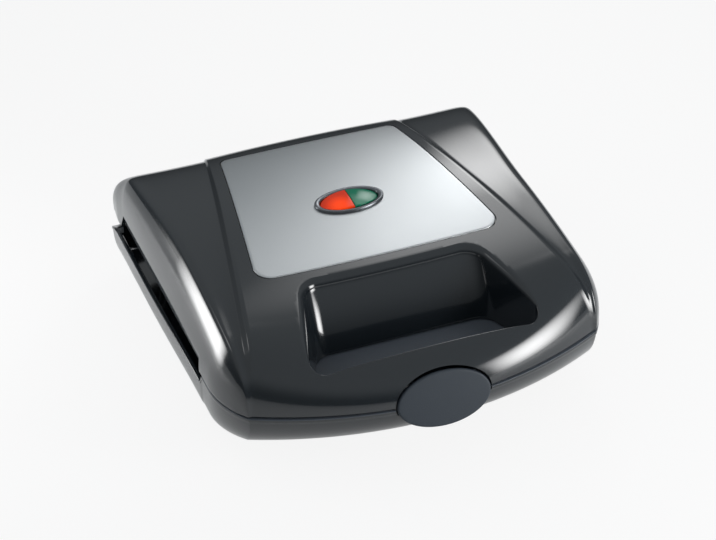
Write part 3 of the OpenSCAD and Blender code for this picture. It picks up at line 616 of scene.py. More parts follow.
def lid_shell():
    """The upper housing, rim rounded, hollow, with its recess, seats, side gaps and lugs."""
    edge = grid_edge(*outer_grid.shape[:2])
    rim = outer_grid.reshape(-1, 3)[edge]
    grid = outer_grid.copy().reshape(-1, 3)
    grid[edge, 2] += rim_round
    rings = [inward(rim, 0.18) + [0, 0, 0.18], inward(rim, rim_round)]
    shell = closed_grid("lid_shell", grid.reshape(outer_grid.shape), rings)
    inner = lid_grid(90, [1 - wall / size for size in (seam_half_w, lid_half_length, lid_height)])
    inner_rim = inner.reshape(-1, 3)[grid_edge(*inner.shape[:2])]
    hollow = closed_grid("hollow", inner, [inner_rim - [0, 0, 1.5]])       # open at the seam
    parts = [combine(recess_walls(), [copy_of(shell)], "INTERSECT")]
    combine(shell, [hollow], "DIFFERENCE")
    for sign in (1, -1):
        parts.append(block("skirt", (sign * skirt_x, slot_front_y - 4, lid_z),
                           (sign * (skirt_x + wall), slot_back_y + 14, slot_back_z + 2)))
        parts.append(x_cylinder("lug", hinge_y, hinge_z, lug_r, sign * lug_x,
                                sign * (lug_x + lug_w)))
        web = [[hinge_y - lug_r + 0.2, hinge_z], [hinge_y + 2.4, hinge_z + 1],
               [hinge_y + 2.4, hinge_z + 8], [118.4, 65], [108, 65]]
        parts.append(crosswise("lug_web", web, sign * lug_x, sign * (lug_x + lug_w)))
        for y, top in ((screw_front_y, 75.4), (screw_back_y, 82.6)):
            post = [sign * screw_x, y] + ellipse(post_r, post_r, 32)
            parts.append(prism("post", post, lid_z + bake_t + 0.2, top - bake_t))
    combine(shell, parts, "UNION")
    oval = ellipse(latch_a + latch_gap, latch_b + latch_gap + latch_swing, 128) + [0, latch_swing]
    cuts = [recess_cutter(), seat_cutter(),
            placed(prism("lamp_cut", ellipse(lamp_hole_a, lamp_hole_b), -14, 16), lamp_frame),
            placed(prism("latch_cut", oval, -9, 21), latch_frame)]
    gap = [[slot_front_y, lid_z - 1], [slot_back_y + 10, lid_z - 1], [slot_back_y, slot_back_z],
           [slot_front_y, slot_front_z]]
    for sign in (1, -1):
        cuts.append(crosswise("side_gap", gap, sign * (skirt_x + wall),
                              sign * (skirt_x + wall + 14)))
        for name, r, x0, x1 in (("pin_hole", pin_r + 0.06, lug_x - 1, lug_x + 4.2),
                                ("ear_room", lug_r + 0.4, 105.2, 109.4)):
            cuts.append(x_cylinder(name, hinge_y, hinge_z, r, sign * x0, sign * x1))
    combine(shell, cuts, "DIFFERENCE")
    return refill(combine(shell, [latch_lug(sign) for sign in (1, -1)], "UNION"))


shell = lid_shell()
print("the lid shell has", len(shell.data.polygons), "faces")


# %% [markdown]
# ## The tub under the lid
# The base is a tub: one loop, its rim, drawn in as it goes down. A quarter turn of the angle takes it from
# the upright wall to the flat belly. The front draws in far more than the sides, so from above only a
# narrow band of it shows. Rings inside give the wall its thickness, and the rim's edges are rounded.

# %% Rim and curl of the tub
front_curl, side_curl, rear_flare, back_corner_r = 46.0, 7.0, 1.4, 7.0
side_rim_drop, back_rim_drop, corner_y = 6.6, 7.0, 115
foot_x, foot_front_y, foot_back_y, foot_r = 78.0, -48.0, 100.0, 10.0
bead_drop, bead_step = 2.2, 0.35                         # a slight bead runs round under the rim


def rim_x(y):
    """Half width of the rim: the lid's own side edge, a little wider toward the hinge."""
    return side_at(np.minimum(y, taper_y)) + rear_flare * ease((np.asarray(y, float) + 40) / 100)


def rim_z(y):
    """Height of the rim: it steps down beside the side gaps and falls away behind the hinge."""
    y = np.asarray(y, float)
    fall = np.clip((y - corner_y) / (tub_back_y - corner_y), 0, 1) ** 2
    return deck_z - side_rim_drop * ease((y + 50) / 6) - back_rim_drop * fall


def rim_loop():
    """The rim seen from above, anticlockwise, with more points where it turns."""
    x = np.linspace(0, ridge_x, 70)[:-1]
    turn = corner_turn * (1 - np.linspace(0, 1, 26))
    y = np.concatenate([corner_start_y - corner_r * np.sin(turn), [-57, -54, -51],
                        np.linspace(-50, -44, 9), np.linspace(-42, corner_y, 50)])
    a = np.radians(np.linspace(0, 90, 20))
    corner = float(rim_x(corner_y)) - back_corner_r
    half = np.concatenate([np.column_stack([x, front_at(x)]), np.column_stack([rim_x(y), y]),
                           np.column_stack([corner + back_corner_r * np.cos(a),
                                            tub_back_y - back_corner_r * (1 - np.sin(a))]),
                           at_level(np.linspace(corner, 0, 40)[1:], tub_back_y)])
    return np.concatenate([half, half[-2:0:-1] * [-1, 1]])


rim = rim_loop()


def belly_ring(angle, inset=0.0, drop=0.0, floor_z=belly_z):
    """The rim drawn in: the curl grows as 1 - cos(angle) while the height falls as sin(angle)."""
    x, y = rim.T
    curl = 1 - math.cos(angle)
    kx = 1 - (side_curl * curl + inset) / seam_half_w
    ky = 1 - ((np.where(y < 0, front_curl, side_curl) * curl + inset)
              / np.where(y < 0, -front_y, tub_back_y))
    top = rim_z(y)
    return np.column_stack([x * kx, y * ky, top - drop - (top - floor_z) * math.sin(angle)])


def tub():
    """Outer rings from the belly up, the rounded rim with its bead, and inner rings to the floor."""
    rings = []
    for degrees in [*np.linspace(90, 10, 34), 8, 6.5, 5.4]:
        angle = math.radians(degrees)
        rings.append(belly_ring(angle, bead_step * (1 - float(ease((degrees - 10) / 30)))))
    for inset, drop in ((bead_step, bead_drop), (0.06, bead_drop - 0.35), (0, bead_drop - 0.6),
                        (0, 0.5), (0.07, 0.25), (0.25, 0.07), (0.5, 0), (wall - 0.4, 0), (wall, 0.4)):
        rings.append(belly_ring(0, inset, drop))
    for angle in np.radians(np.linspace(8, 90, 15)):
        rings.append(belly_ring(angle, wall, 0, belly_z + wall))
    return rings_solid("tub", rings, 20)


# %% [markdown]
# ## Parts inside the tub
# Behind the front wall the real tub has a closed deck, which is the floor of the hand recess, and a block
# that the latch catches. They are joined to the tub before the latch's seat is cut through all of them.

# %% Base shell
deck_back_y, deck_inset, ear_x, ear_w = bake_front_y - 2, 0.988, 105.5, 3.0
hook_r, cord_z, cord_r = 16.4, 22.0, 6.05
catch_half_w, catch_low_z, catch_depth, catch_inset = 30, 24, 14, 2.4


def hook_ring(name, r0, r1, half_w):
    """A short tube round the latch's pivot, between the radii r0 and r1."""
    angle = np.linspace(0, 2 * math.pi, 97)[:-1]
    profile = [(r0, -half_w), (r1, -half_w), (r1, half_w), (r0, half_w)]
    rings = [[[x, r * math.cos(a), r * math.sin(a)] for r, x in profile] for a in angle]
    return placed(rings_solid(name, rings, joined=True), pivot_frame)


def hook_part(name, r0, r1, half_w, low, high):
    """The part of a tube round the pivot that lies in a box of the latch's own frame."""
    box = placed(block("hook_box", low, high), latch_frame)
    return combine(hook_ring(name, r0, r1, half_w), [box], "INTERSECT")


def cord_hole():
    """A cylinder along Y where the grommet sits."""
    circle = ellipse(cord_r, cord_r, 64)
    return rings_solid("cord_hole", [np.insert(circle + [0, cord_z], 1, y, 1)
                                     for y in (tub_back_y - 14, tub_back_y + 6)])


def deck_and_catch():
    """The deck, the wall behind it, and the block that the latch catches."""
    front = rim[(rim[:, 0] >= 0) & (rim[:, 1] < deck_back_y - 8)] * deck_inset
    half = np.concatenate([front, [[float(rim_x(deck_back_y)) * deck_inset, deck_back_y]]])
    deck = prism("deck", np.concatenate([half, half[:0:-1] * [-1, 1]]), deck_z - wall, deck_z)
    a, y = np.radians(np.linspace(0, 90, 13)), deck_back_y
    half = np.column_stack([rim_x(y) * (1 - (side_curl * (1 - np.cos(a)) + 1.2) / seam_half_w),
                            rim_z(y) - (rim_z(y) - belly_z - 1) * np.sin(a)])
    section = np.concatenate([half, half[::-1] * [-1, 1]])
    behind = rings_solid("behind", [np.insert(section, 1, y, 1) for y in (y - wall, y)])
    depth = deck_z - belly_z
    a = np.linspace(0, 1, 9) * math.asin((deck_z - catch_low_z) / depth)
    curve = np.column_stack([front_y + front_curl * (1 - np.cos(a)) + catch_inset,
                             deck_z - depth * np.sin(a)])
    catch = [*curve.tolist(), [latch_y + catch_depth, catch_low_z], [latch_y + catch_depth, deck_z]]
    return [deck, behind, crosswise("catch", catch, -catch_half_w, catch_half_w)]


def base_shell():
    """The lower housing with its deck, catch block, bosses, hinge ears and all its cut-outs."""
    shell, parts = tub(), deck_and_catch()
    for sign in (1, -1):
        for y in (screw_front_y, screw_back_y):
            parts.append(prism("boss", [sign * screw_x, y] + ellipse(boss_r, boss_r, 32), belly_z + 1,
                               deck_z - bake_t - 0.2))
        for y in (foot_front_y, foot_back_y):
            parts.append(prism("foot_boss", [sign * foot_x, y] + ellipse(foot_r, foot_r, 64), 3,
                               belly_z + 2))
        parts.append(x_cylinder("ear", hinge_y, hinge_z, lug_r, sign * ear_x,
                                sign * (ear_x + ear_w)))
        for x1, z0, z1 in ((ear_x + ear_w, 24, hinge_z), (ear_x + 6.4, 23, 32.4)):
            parts.append(block("web", (sign * ear_x, hinge_y - lug_r, z0),
                               (sign * x1, hinge_y + 1, z1)))
    combine(shell, parts, "UNION")
    seat = prism("latch_seat", ellipse(latch_a + latch_gap, latch_b + latch_gap, 128),
                 -latch_t - latch_gap, 27)
    cuts = [placed(seat, latch_frame),
            hook_part("hook_room", hook_r - 0.5, hook_r + 6.2, 11, (-11, -20, -10), (11, 20, 10)),
            cord_hole()]
    for x in (-50, -37.5, -25, 25, 37.5, 50):
        cuts.append(block("cooling_slot", (x - 1.6, -12, belly_z - 2), (x + 1.6, 40, belly_z + 4)))
    for sign in (1, -1):
        cuts.append(block("deck_gap", (sign * 34, deck_back_y - 6, belly_z + 4),
                          (sign * 70, deck_back_y + 3, belly_z + 13)))
        cuts.append(x_cylinder("pin_hole", hinge_y, hinge_z, pin_r + 0.01, sign * (ear_x - 1),
                               sign * (ear_x + ear_w + 1)))
        for y in (screw_front_y, screw_back_y):
            for name, r, n, top in (("screw_hole", screw_r, 24, deck_z - 1),
                                    ("screw_well", well_r, 32, belly_z + 4)):
                cuts.append(prism(name, [sign * screw_x, y] + ellipse(r, r, n), belly_z - 1, top))
        for y in (foot_front_y, foot_back_y):
            well = [sign * foot_x, y] + ellipse(foot_r - 1.8, foot_r - 1.8, 48)
            cuts.append(prism("foot_well", well, 2, 6))
    return refill(combine(shell, cuts, "DIFFERENCE", 20), 20)


base = base_shell()
print("the base shell has", len(base.data.polygons), "faces")

# %% [markdown]
# ## The metal plate and the lamp
# The plate is thin sheet that lies in its seat with a narrow gap all round. Its rings run from the lamp's
# opening out to the edge, so the edge can be bevelled for the fine bright line that cut metal shows.


# %% Top plate
def top_plate():
    """Rings from the lamp's opening to the outline on top, over the bevel, and back underneath."""
    outline = plate_outline(0)
    centre = np.array([0.0, lamp_y])
    x, y = (outline - centre).T
    angle = np.arctan2(y / lamp_hole_b, x / lamp_hole_a)
    hole = centre + np.column_stack([lamp_hole_a * np.cos(angle),
                                     lamp_hole_b * math.cos(lamp_tilt) * np.sin(angle)])
    top = mix(hole, inward(outline, 0.5), np.linspace(0, 1, 44)[:, None, None])
    rings = [on_band(ring, 0.25) for ring in top]
    for inset, lift in ((0.24, 0.19), (0.08, 0.05), (0.0, -0.2), (0.0, -seat_depth)):
        rings.append(on_band(inward(outline, inset), lift))
    rings += [on_band(ring, -seat_depth) for ring in (*top[-2::-6], hole)]
    return rings_solid("top_plate_sheet", rings, 40, joined=True)


def bezel():
    """The lamp's ring: a rounded profile carried round the ellipse, inset by its first number."""
    profile = [(0, 0.4), (0, 1.15), (0.12, 1.5), (0.4, 1.72), (0.8, 1.8), (2.2, 1.62), (2.8, 1.4),
               (3.1, 1.1), (3.5, -2), (3.5, -6), (2.3, -6), (2.3, 0.4)]
    angle = np.linspace(0, 2 * math.pi, 193)[:-1]
    inset, z = np.array(profile).T
    share = inset / 3.5
    a, b = lamp_a - share * (lamp_a - 17.0), lamp_b - share * (lamp_b - 8.4)
    rings = np.stack([np.outer(np.cos(angle), a), np.outer(np.sin(angle), b),
                      np.broadcast_to(z, (len(angle), len(z)))], -1)
    return placed(rings_solid("bezel_ring", rings, 50, joined=True), lamp_frame)


def domed(name, outline, height, bottom, edge_r, sharp, middle=(0.0, 0.0)):
    """A solid with a curved top: rings from the outline's foot over a rounded edge in to its middle."""
    rings = [at_level(outline, bottom)]
    for a in np.radians(np.linspace(0, 90, 8)):
        q = inward(outline, edge_r * (1 - math.cos(a)))
        rings.append(at_level(q, height(*q.T) - edge_r * (1 - math.sin(a))))
    inner, middle = rings[-1][:, :2], np.asarray(middle, float)
    for k in np.linspace(1, 0.01, 20)[1:]:
        q = middle + (inner - middle) * k
        rings.append(at_level(q, height(*q.T)))
    return rings_solid(name, rings, sharp)


lens_a, lens_b, lens_r, lens_top = 16.9, 8.3, 62.0, 2.6


def lens(side):
    """Half of the oval lens under a sphere. side is -1 for the red half and 1 for the green one."""
    split = 0.4 if side < 0 else 0.6
    start = math.acos(split / lens_a)
    a = np.linspace(-start, start, 97) if side > 0 else np.linspace(start, 2 * math.pi - start, 97)
    arc = np.column_stack([lens_a * np.cos(a), lens_b * np.sin(a)])
    line = np.linspace(arc[-1], arc[0], 30)[1:-1]
    sphere = lambda x, y: lens_top - lens_r + np.sqrt(lens_r ** 2 - x * x - y * y)
    return placed(domed("lens_%d" % side, np.concatenate([arc, line]), sphere, -5, 0.35, 60,
                        (split + side * 7.5, 0.0)), lamp_frame)


plate_sheet, bezel_ring, red_half, green_half = top_plate(), bezel(), lens(-1), lens(1)
print("lamp centre at", lamp_y, round(lamp_z, 2), "tilted", round(math.degrees(lamp_tilt), 2))

# %% [markdown]
# ## The latch
# The latch is an oval button that lies across the seam, a little proud of both housings. It turns on a
# pin in the lid, and its hook runs under a catch in the base.

# %% Latch
crown_h, ear_r, bore_r = 0.35, 2, 1.16


def latch_piece():
    """The oval with a rounded edge and a slight crown, its two lugs and its hook."""
    crown = lambda x, y: crown_h * (1 - (x / latch_a) ** 2 - (y / latch_b) ** 2) - crown_h
    oval = ellipse(latch_a, latch_b, 160)
    face = placed(domed("latch_face", oval, crown, -latch_t, 1.1, 35), latch_frame)
    v, n = latch_pivot
    a = np.radians(np.linspace(180, 360, 17))
    ear = np.concatenate([np.column_stack([v + ear_r * np.cos(a), n + ear_r * np.sin(a)]),
                          [[v + ear_r, -1.5], [v - ear_r, -1.5]]])
    parts = [placed(crosswise("latch_ear", ear, sign * 12.2, sign * 16.2), latch_frame)
             for sign in (1, -1)]
    parts.append(hook_part("hook", hook_r, hook_r + 5, 10, (-10, -12, -8.6), (10, 10, -1.4)))
    combine(face, parts, "UNION")
    bore = placed(x_cylinder("bore", 0, 0, bore_r, -20, 20), pivot_frame)
    return refill(combine(face, [bore], "DIFFERENCE", 35), 35)


latch = latch_piece()

# %% [markdown]
# ## The baking plates
# Each plate is a cast slab with four triangular pockets that press and cut the bread. A pocket is drawn as
# a cutter whose rings shrink as they go down, first in a small round at the rim and then ever faster.

# %% Baking plates
pocket_in_x, pocket_out_x, pocket_front_y, pocket_back_y = 5, 101, -40, 76
ridge_gap, pocket_depth, square_r, point_r = 3, 12.0, 6, 5
pocket_draw, rim_share = 5, 0.12                         # shrinkage at the floor, and the rim's share


def pocket_outline(far, shrink):
    """A round-cornered triangle, the outer-front one if far, shrunk evenly on its three sides."""
    x0, x1 = pocket_in_x + shrink, pocket_out_x - shrink
    y0, y1 = pocket_front_y + shrink, pocket_back_y - shrink
    g = ridge_gap * 2.2 + shrink * 1.9
    if far:
        corners = [[x1, y0, square_r], [x1, y1 - g, point_r], [x0 + g, y0, point_r]]
    else:
        corners = [[x0, y0 + g, point_r], [x1 - g, y1, point_r], [x0, y1, square_r]]
    return rounded(corners, 10, 16)


def pockets(grow, depth):
    """Four pockets as solids: the shrinkage grows as the square of the depth, from a rounded rim."""
    made = []
    for far, sign in ((True, 1), (True, -1), (False, 1), (False, -1)):
        rings = [at_level(pocket_outline(far, pocket_draw * t ** 2.0 - grow), -depth * t)
                 for t in (1, 0.97, 0.9, 0.8, 0.68, 0.55, 0.42, 0.3, 0.2, rim_share)]
        for t in np.linspace(0.2, 1, 6):
            rings.append(at_level(pocket_outline(far, 0.07 - grow - 1.0 * t ** 2),
                                  -depth * rim_share * (1 - t) + 0.01))
        rings.append(rings[-1] + [0, 0, 2])
        made.append(rings_solid("pocket", np.array(rings) * [sign, 1, 1], 40))
    return made


def baking_plate(name, up):
    """The slab with four hollow bulges below. up is 1 for the base's plate and -1 for the lid's."""
    slab = block(name, (-bake_half_w, bake_front_y, -bake_t), (bake_half_w, bake_back_y, 0))
    bulges = [combine(bulge, [block("keep", (-200, -200, -20), (200, 200, -0.5))], "INTERSECT")
              for bulge in pockets(bake_t * 0.9, pocket_depth + bake_t)]
    combine(slab, bulges, "UNION")
    cuts = pockets(0, pocket_depth)
    for x, y in ((x, y) for x in (screw_x, -screw_x) for y in (screw_front_y, screw_back_y)):
        hole = [x, y] + ellipse(screw_r, screw_r, 24)
        cuts.append(prism("screw_hole", hole, -4, 1 if up < 0 else -1))
        if up < 0:
            cuts.append(prism("screw_well", [x, y] + ellipse(3, 3, 32), -1.4, 1))
    refill(combine(slab, cuts, "DIFFERENCE", 40), 40)
    level = Matrix.Translation((0, 0, (deck_z if up > 0 else lid_z) * MM))
    placed(slab, level @ Matrix.Diagonal((1, 1, up, 1)))
    if up < 0:
        slab.data.flip_normals()
    return slab


lower_plate = baking_plate("lower_plate_casting", 1)
upper_plate = baking_plate("upper_plate_casting", -1)
print("a baking plate has", len(lower_plate.data.polygons), "faces")


# %% [markdown]
# ## Putting the pieces in place
# Every piece is built in the model's own coordinates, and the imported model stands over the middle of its
# box, so each mesh moves back by the middle of the box's two ends. Then it rides on the body it belongs
# to and stands in for the plain solid.

# %% Ride, replace, centre
box_back_y, box_front_y = 140.4, -122.886
box_middle_y = (box_back_y + box_front_y) / 2


def dress(piece, body, node, finish):
    """Centres a piece, gives it its finish, and ties it to the body and the node it stands for."""
    piece.name = piece.data.name = node + "_skin"
    placed(piece, Matrix.Translation((0, -box_middle_y * MM, 0)))
    piece.data.materials.clear()
    piece.data.materials.append(finish)
    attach(piece, body)
    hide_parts(node)


# %% [markdown]
# ## Finishes
# Moulded plastic is never perfectly even: its gloss varies a little and its surface is faintly wavy, like
# the skin of an orange. Both come from one node group, which each plastic uses with its own numbers.
# A node tree is written here as its nodes, each with a name, and a text of its links. Each link says
# which output feeds which input, and a number stands for a socket that has no name of its own.

# %% Node helpers
def add(tree, name, kind, values={}, **settings):
    """A new node with a name, its settings, and values on its inputs."""
    node = tree.nodes.new(kind)
    node.name = name
    for label, value in settings.items():
        setattr(node, label, value)
    for label, value in values.items():
        node.inputs[label].default_value = value
    return node


def wire(tree, links):
    """Makes the links that a text names, such as: place.Object > noise.Vector, noise.Fac > step.0"""
    def find(side, end):
        name, label = end.split(".")
        return getattr(tree.nodes[name], side)[int(label) if label.isdigit() else label]

    for link in links.split(", "):
        start, end = link.split(" > ")
        tree.links.new(find("outputs", start), find("inputs", end))


def new_group(name, inputs, outputs):
    """A node group with named inputs and outputs, its two end nodes, and the place on the piece."""
    group = bpy.data.node_groups.new(name, "ShaderNodeTree")
    for label, value in inputs.items():
        socket = group.interface.new_socket(label, in_out="INPUT", socket_type="NodeSocketFloat")
        socket.default_value = value
    for label, kind in outputs.items():
        group.interface.new_socket(label, in_out="OUTPUT", socket_type="NodeSocket" + kind)
    add(group, "start", "NodeGroupInput")
    add(group, "end", "NodeGroupOutput")
    add(group, "place", "ShaderNodeTexCoord")
    return group


# %% Uneven gloss and a wavy skin
def skin_group():
    """Roughness = low + (high - low) * noise, and a normal bent by a finer noise."""
    group = new_group("moulded_skin", {"Low": 0.15, "High": 0.25, "Patch": 40.0, "Grain": 900.0,
                                       "Bump": 0.05}, {"Roughness": "Float", "Normal": "Vector"})
    add(group, "patch", "ShaderNodeTexNoise", {"Detail": 5.0})
    add(group, "grain", "ShaderNodeTexNoise", {"Detail": 2.0})
    add(group, "spread", "ShaderNodeMapRange", {"From Min": 0.3, "From Max": 0.7})
    add(group, "bump", "ShaderNodeBump", {"Distance": 0.0002})
    wire(group, "place.Object > patch.Vector, start.Patch > patch.Scale, "
                "place.Object > grain.Vector, start.Grain > grain.Scale, patch.Fac > spread.Value, "
                "start.Low > spread.To Min, start.High > spread.To Max, "
                "spread.Result > end.Roughness, start.Bump > bump.Strength, "
                "grain.Fac > bump.Height, bump.Normal > end.Normal")
    return group


moulded_skin = skin_group()
SKIN_LABELS = ("Low", "High", "Patch", "Grain", "Bump")


def finish(name, color, metallic=0.0, skin=None, **sockets):
    """A material with a Principled shader. skin holds the five numbers of the moulded_skin group."""
    material = bpy.data.materials.new(name)
    material.use_nodes = True
    tree = material.node_tree
    inputs = tree.nodes["Principled BSDF"].inputs
    inputs["Base Color"].default_value = (*color, 1)
    inputs["Metallic"].default_value = metallic
    for label, value in sockets.items():
        inputs[label.replace("_", " ")].default_value = value
    if skin:
        add(tree, "skin", "ShaderNodeGroup", dict(zip(SKIN_LABELS, skin)), node_tree=moulded_skin)
        wire(tree, "skin.Roughness > Principled BSDF.Roughness, "
                   "skin.Normal > Principled BSDF.Normal")
    return material


def tinted(material, dark, light, scale, stretch=(1, 1, 1)):
    """Lets a material's colour wander between dark and light in soft patches."""
    tree = material.node_tree
    add(tree, "place", "ShaderNodeTexCoord")
    add(tree, "mapping", "ShaderNodeMapping", {"Scale": stretch})
    add(tree, "noise", "ShaderNodeTexNoise", {"Scale": scale, "Detail": 4.0})
    ramp = add(tree, "ramp", "ShaderNodeValToRGB").color_ramp
    for stop, position, color in zip(ramp.elements, (0.35, 0.65), (dark, light)):
        stop.position, stop.color = position, (*color, 1)
    wire(tree, "place.Object > mapping.Vector, mapping.Vector > noise.Vector, "
               "noise.Fac > ramp.Fac, ramp.Color > Principled BSDF.Base Color")
    return material


# %% Groups that know where they are
def level_mask():
    """1 where a point's height is within 0.3 mm of Height and its y is less than Behind, else 0."""
    group = new_group("level_mask", {"Height": 0.04, "Behind": 0.0}, {"Fac": "Float"})
    add(group, "split", "ShaderNodeSeparateXYZ")
    add(group, "same", "ShaderNodeMath", {2: 0.0003}, operation="COMPARE")
    add(group, "front", "ShaderNodeMath", operation="LESS_THAN")
    add(group, "both", "ShaderNodeMath", operation="MULTIPLY")
    wire(group, "place.Object > split.Vector, split.Z > same.0, start.Height > same.1, "
                "split.Y > front.0, start.Behind > front.1, same.Value > both.0, "
                "front.Value > both.1, both.Value > end.Fac")
    return group


def spot_mask():
    """Falls smoothly from 1 at the point X, Y, Z to 0 at Reach metres from it."""
    group = new_group("spot_mask", {"X": 0.0, "Y": 0.0, "Z": 0.0, "Reach": 0.01}, {"Fac": "Float"})
    add(group, "spot", "ShaderNodeCombineXYZ")
    add(group, "gap", "ShaderNodeVectorMath", operation="DISTANCE")
    add(group, "fall", "ShaderNodeMapRange", {"From Min": 0.0, "To Min": 1.0, "To Max": 0.0},
        interpolation_type="SMOOTHSTEP")
    wire(group, "start.X > spot.X, start.Y > spot.Y, start.Z > spot.Z, place.Object > gap.0, "
                "spot.Vector > gap.1, gap.Value > fall.Value, start.Reach > fall.From Max, "
                "fall.Result > end.Fac")
    return group


def with_matt_level(material, height, behind, color, rough):
    """Makes the level face at a height matt, as its mould is grained there, in a lighter grey that paints
    light into the recess's shade.
    """
    tree = material.node_tree
    inputs = tree.nodes["Principled BSDF"].inputs
    plain, weight = tuple(inputs["Base Color"].default_value), inputs["Coat Weight"].default_value
    add(tree, "mask", "ShaderNodeGroup", {"Height": height, "Behind": behind}, node_tree=level_mask())
    add(tree, "tint", "ShaderNodeMix", {6: plain, 7: (*color, 1)}, data_type="RGBA")
    add(tree, "coat", "ShaderNodeMath", {1: -weight, 2: weight}, operation="MULTIPLY_ADD")
    add(tree, "dull", "ShaderNodeMix", {3: rough})
    wire(tree, "mask.Fac > tint.0, mask.Fac > dull.0, mask.Fac > coat.0, skin.Roughness > dull.2, "
               "tint.2 > Principled BSDF.Base Color, dull.0 > Principled BSDF.Roughness, "
               "coat.Value > Principled BSDF.Coat Weight")
    return material


def with_glow(material, color, low, high, spot, reach):
    """A lamp shines through: the material's light grows from low to high toward a spot in mm."""
    tree = material.node_tree
    place = {label: value * MM for label, value in zip(("X", "Y", "Z", "Reach"), (*spot, reach))}
    add(tree, "mask", "ShaderNodeGroup", place, node_tree=spot_mask())
    add(tree, "strength", "ShaderNodeMapRange", {"To Min": low, "To Max": high})
    wire(tree, "mask.Fac > strength.Value, strength.Result > Principled BSDF.Emission Strength")
    tree.nodes["Principled BSDF"].inputs["Emission Color"].default_value = (*color, 1)
    return material


# %% Every finish on the toaster
black = {"color": (0.013, 0.017, 0.021), "IOR": 1.6, "Coat_Weight": 0.6, "Coat_Roughness": 0.05,
         "skin": (0.11, 0.15, 22.0, 700.0, 0.03)}
lens_skin = (0.05, 0.09, 90.0, 500.0, 0.03)
lamp_spot = (-7.0, lamp_y - box_middle_y - 4.5, lamp_z + 1.0)
gloss_black = finish("gloss_black_plastic", **black)
# painted light: the deck's matt grey is set lighter than the latch's grey, so that the floor of the hand
# recess, which lies in shade, looks lit
deck_ends_y, deck_grey_and_painted_light = -0.055, (0.085, 0.098, 0.118)
base_black = with_matt_level(finish("gloss_black_base", **black), deck_z * MM, deck_ends_y,
                             deck_grey_and_painted_light, 0.5)
latch_grey = finish("matt_grey_plastic", (0.030, 0.040, 0.053), skin=(0.5, 0.6, 40.0, 1600.0, 0.25))
satin_metal = finish("satin_anodised_metal", (0.62, 0.64, 0.65), 1.0,
                     (0.36, 0.40, 12.0, 2600.0, 0.10))
ring_metal = finish("satin_bezel", (0.21, 0.22, 0.235), 1.0, (0.22, 0.30, 60.0, 1500.0, 0.04))
red_glow = with_glow(finish("red_lens_plastic", (0.62, 0.014, 0.002), skin=lens_skin, IOR=1.45),
                     (1.0, 0.075, 0.004), 0.22, 0.80, lamp_spot, 11.0)
green_dark = finish("green_lens_plastic", (0.004, 0.245, 0.130), skin=lens_skin, IOR=1.4)
coating = tinted(finish("non_stick_coating", (0.02, 0.021, 0.024),
                        skin=(0.30, 0.42, 120.0, 2400.0, 0.35)),
                 (0.016, 0.017, 0.019), (0.028, 0.028, 0.031), 900.0)
sheath = tinted(finish("heat_tinted_sheath", (0.2, 0.17, 0.14), 1.0, Roughness=0.42),
                (0.11, 0.095, 0.09), (0.27, 0.23, 0.19), 60.0)
bright_sheet = tinted(finish("bright_rolled_sheet", (0.7, 0.71, 0.72), 1.0, Roughness=0.3),
                      (0.62, 0.63, 0.64), (0.76, 0.77, 0.78), 90.0, (1, 8, 1))
zinc = tinted(finish("zinc_plated_steel", (0.6, 0.61, 0.63), 1.0, Roughness=0.34),
              (0.52, 0.53, 0.55), (0.68, 0.69, 0.71), 300.0)
pin_steel = tinted(finish("drawn_pin_steel", (0.5, 0.51, 0.52), 1.0, Roughness=0.28),
                   (0.44, 0.45, 0.46), (0.56, 0.57, 0.58), 200.0, (1, 10, 10))
foot_rubber = tinted(finish("foot_rubber", (0.03, 0.03, 0.031),
                            skin=(0.72, 0.86, 90.0, 1200.0, 0.3)),
                     (0.024, 0.024, 0.025), (0.040, 0.040, 0.041), 200.0)
cord_rubber = finish("grommet_rubber", (0.022, 0.023, 0.025), skin=(0.5, 0.64, 90.0, 900.0, 0.15))
cream = tinted(finish("cream_insulator", (0.78, 0.75, 0.66), Roughness=0.5),
               (0.72, 0.69, 0.60), (0.82, 0.79, 0.70), 160.0)
clip_steel = tinted(finish("spring_clip_steel", (0.55, 0.56, 0.57), 1.0, Roughness=0.35),
                    (0.45, 0.46, 0.48), (0.62, 0.63, 0.64), 180.0)
ceramic = tinted(finish("white_ceramic", (0.8, 0.79, 0.75), Roughness=0.4),
                 (0.76, 0.75, 0.70), (0.84, 0.83, 0.79), 140.0)
lamp_glass = tinted(finish("lamp_glass", (0.85, 0.62, 0.42), Roughness=0.12,
                           Transmission_Weight=0.4),
                    (0.80, 0.55, 0.36), (0.90, 0.70, 0.50), 200.0)

# %% Dress the visible pieces and the plain solids
dress(shell, "lid", "upper_housing", gloss_black)
dress(base, "base", "lower_housing", base_black)
dress(plate_sheet, "lid", "top_plate", satin_metal)
dress(bezel_ring, "lid", "lamp_bezel", ring_metal)
dress(red_half, "lid", "red_lens", red_glow)
dress(green_half, "lid", "green_lens", green_dark)
dress(latch, "latch", "latch", latch_grey)
dress(lower_plate, "base", "lower_baking_plate", coating)
dress(upper_plate, "lid", "upper_baking_plate", coating)
plain = {"lower_heater": sheath, "upper_heater": sheath, "lower_reflector": bright_sheet,
         "upper_reflector": bright_sheet, "plate_screws": zinc, "lid_screws": zinc,
         "hinge_pins": pin_steel, "latch_pin": pin_steel, "rubber_feet": foot_rubber,
         "cord_grommet": cord_rubber, "terminal_block": cream, "lamp_holder": cream,
         "heater_clips_lower": clip_steel, "heater_clips_upper": clip_steel, "thermostat": ceramic,
         "thermal_fuse": ceramic, "neon_lamps": lamp_glass}
for node_name, node_finish in plain.items():
    node_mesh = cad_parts[node_name].data
    node_mesh.materials.clear()
    node_mesh.materials.append(node_finish)
print(len(plain), "solids keep their own mesh")

# %% [markdown]
# ## Floor, light and camera
# Glossy black plastic shows nothing but what it mirrors, so the lights are placed for their reflections:
# each soft panel stands where one highlight of the product picture comes from. The camera sees a white
# ground. Mirrors see a quarter of the floor's shine and a graded grey world, so the black stays dark.


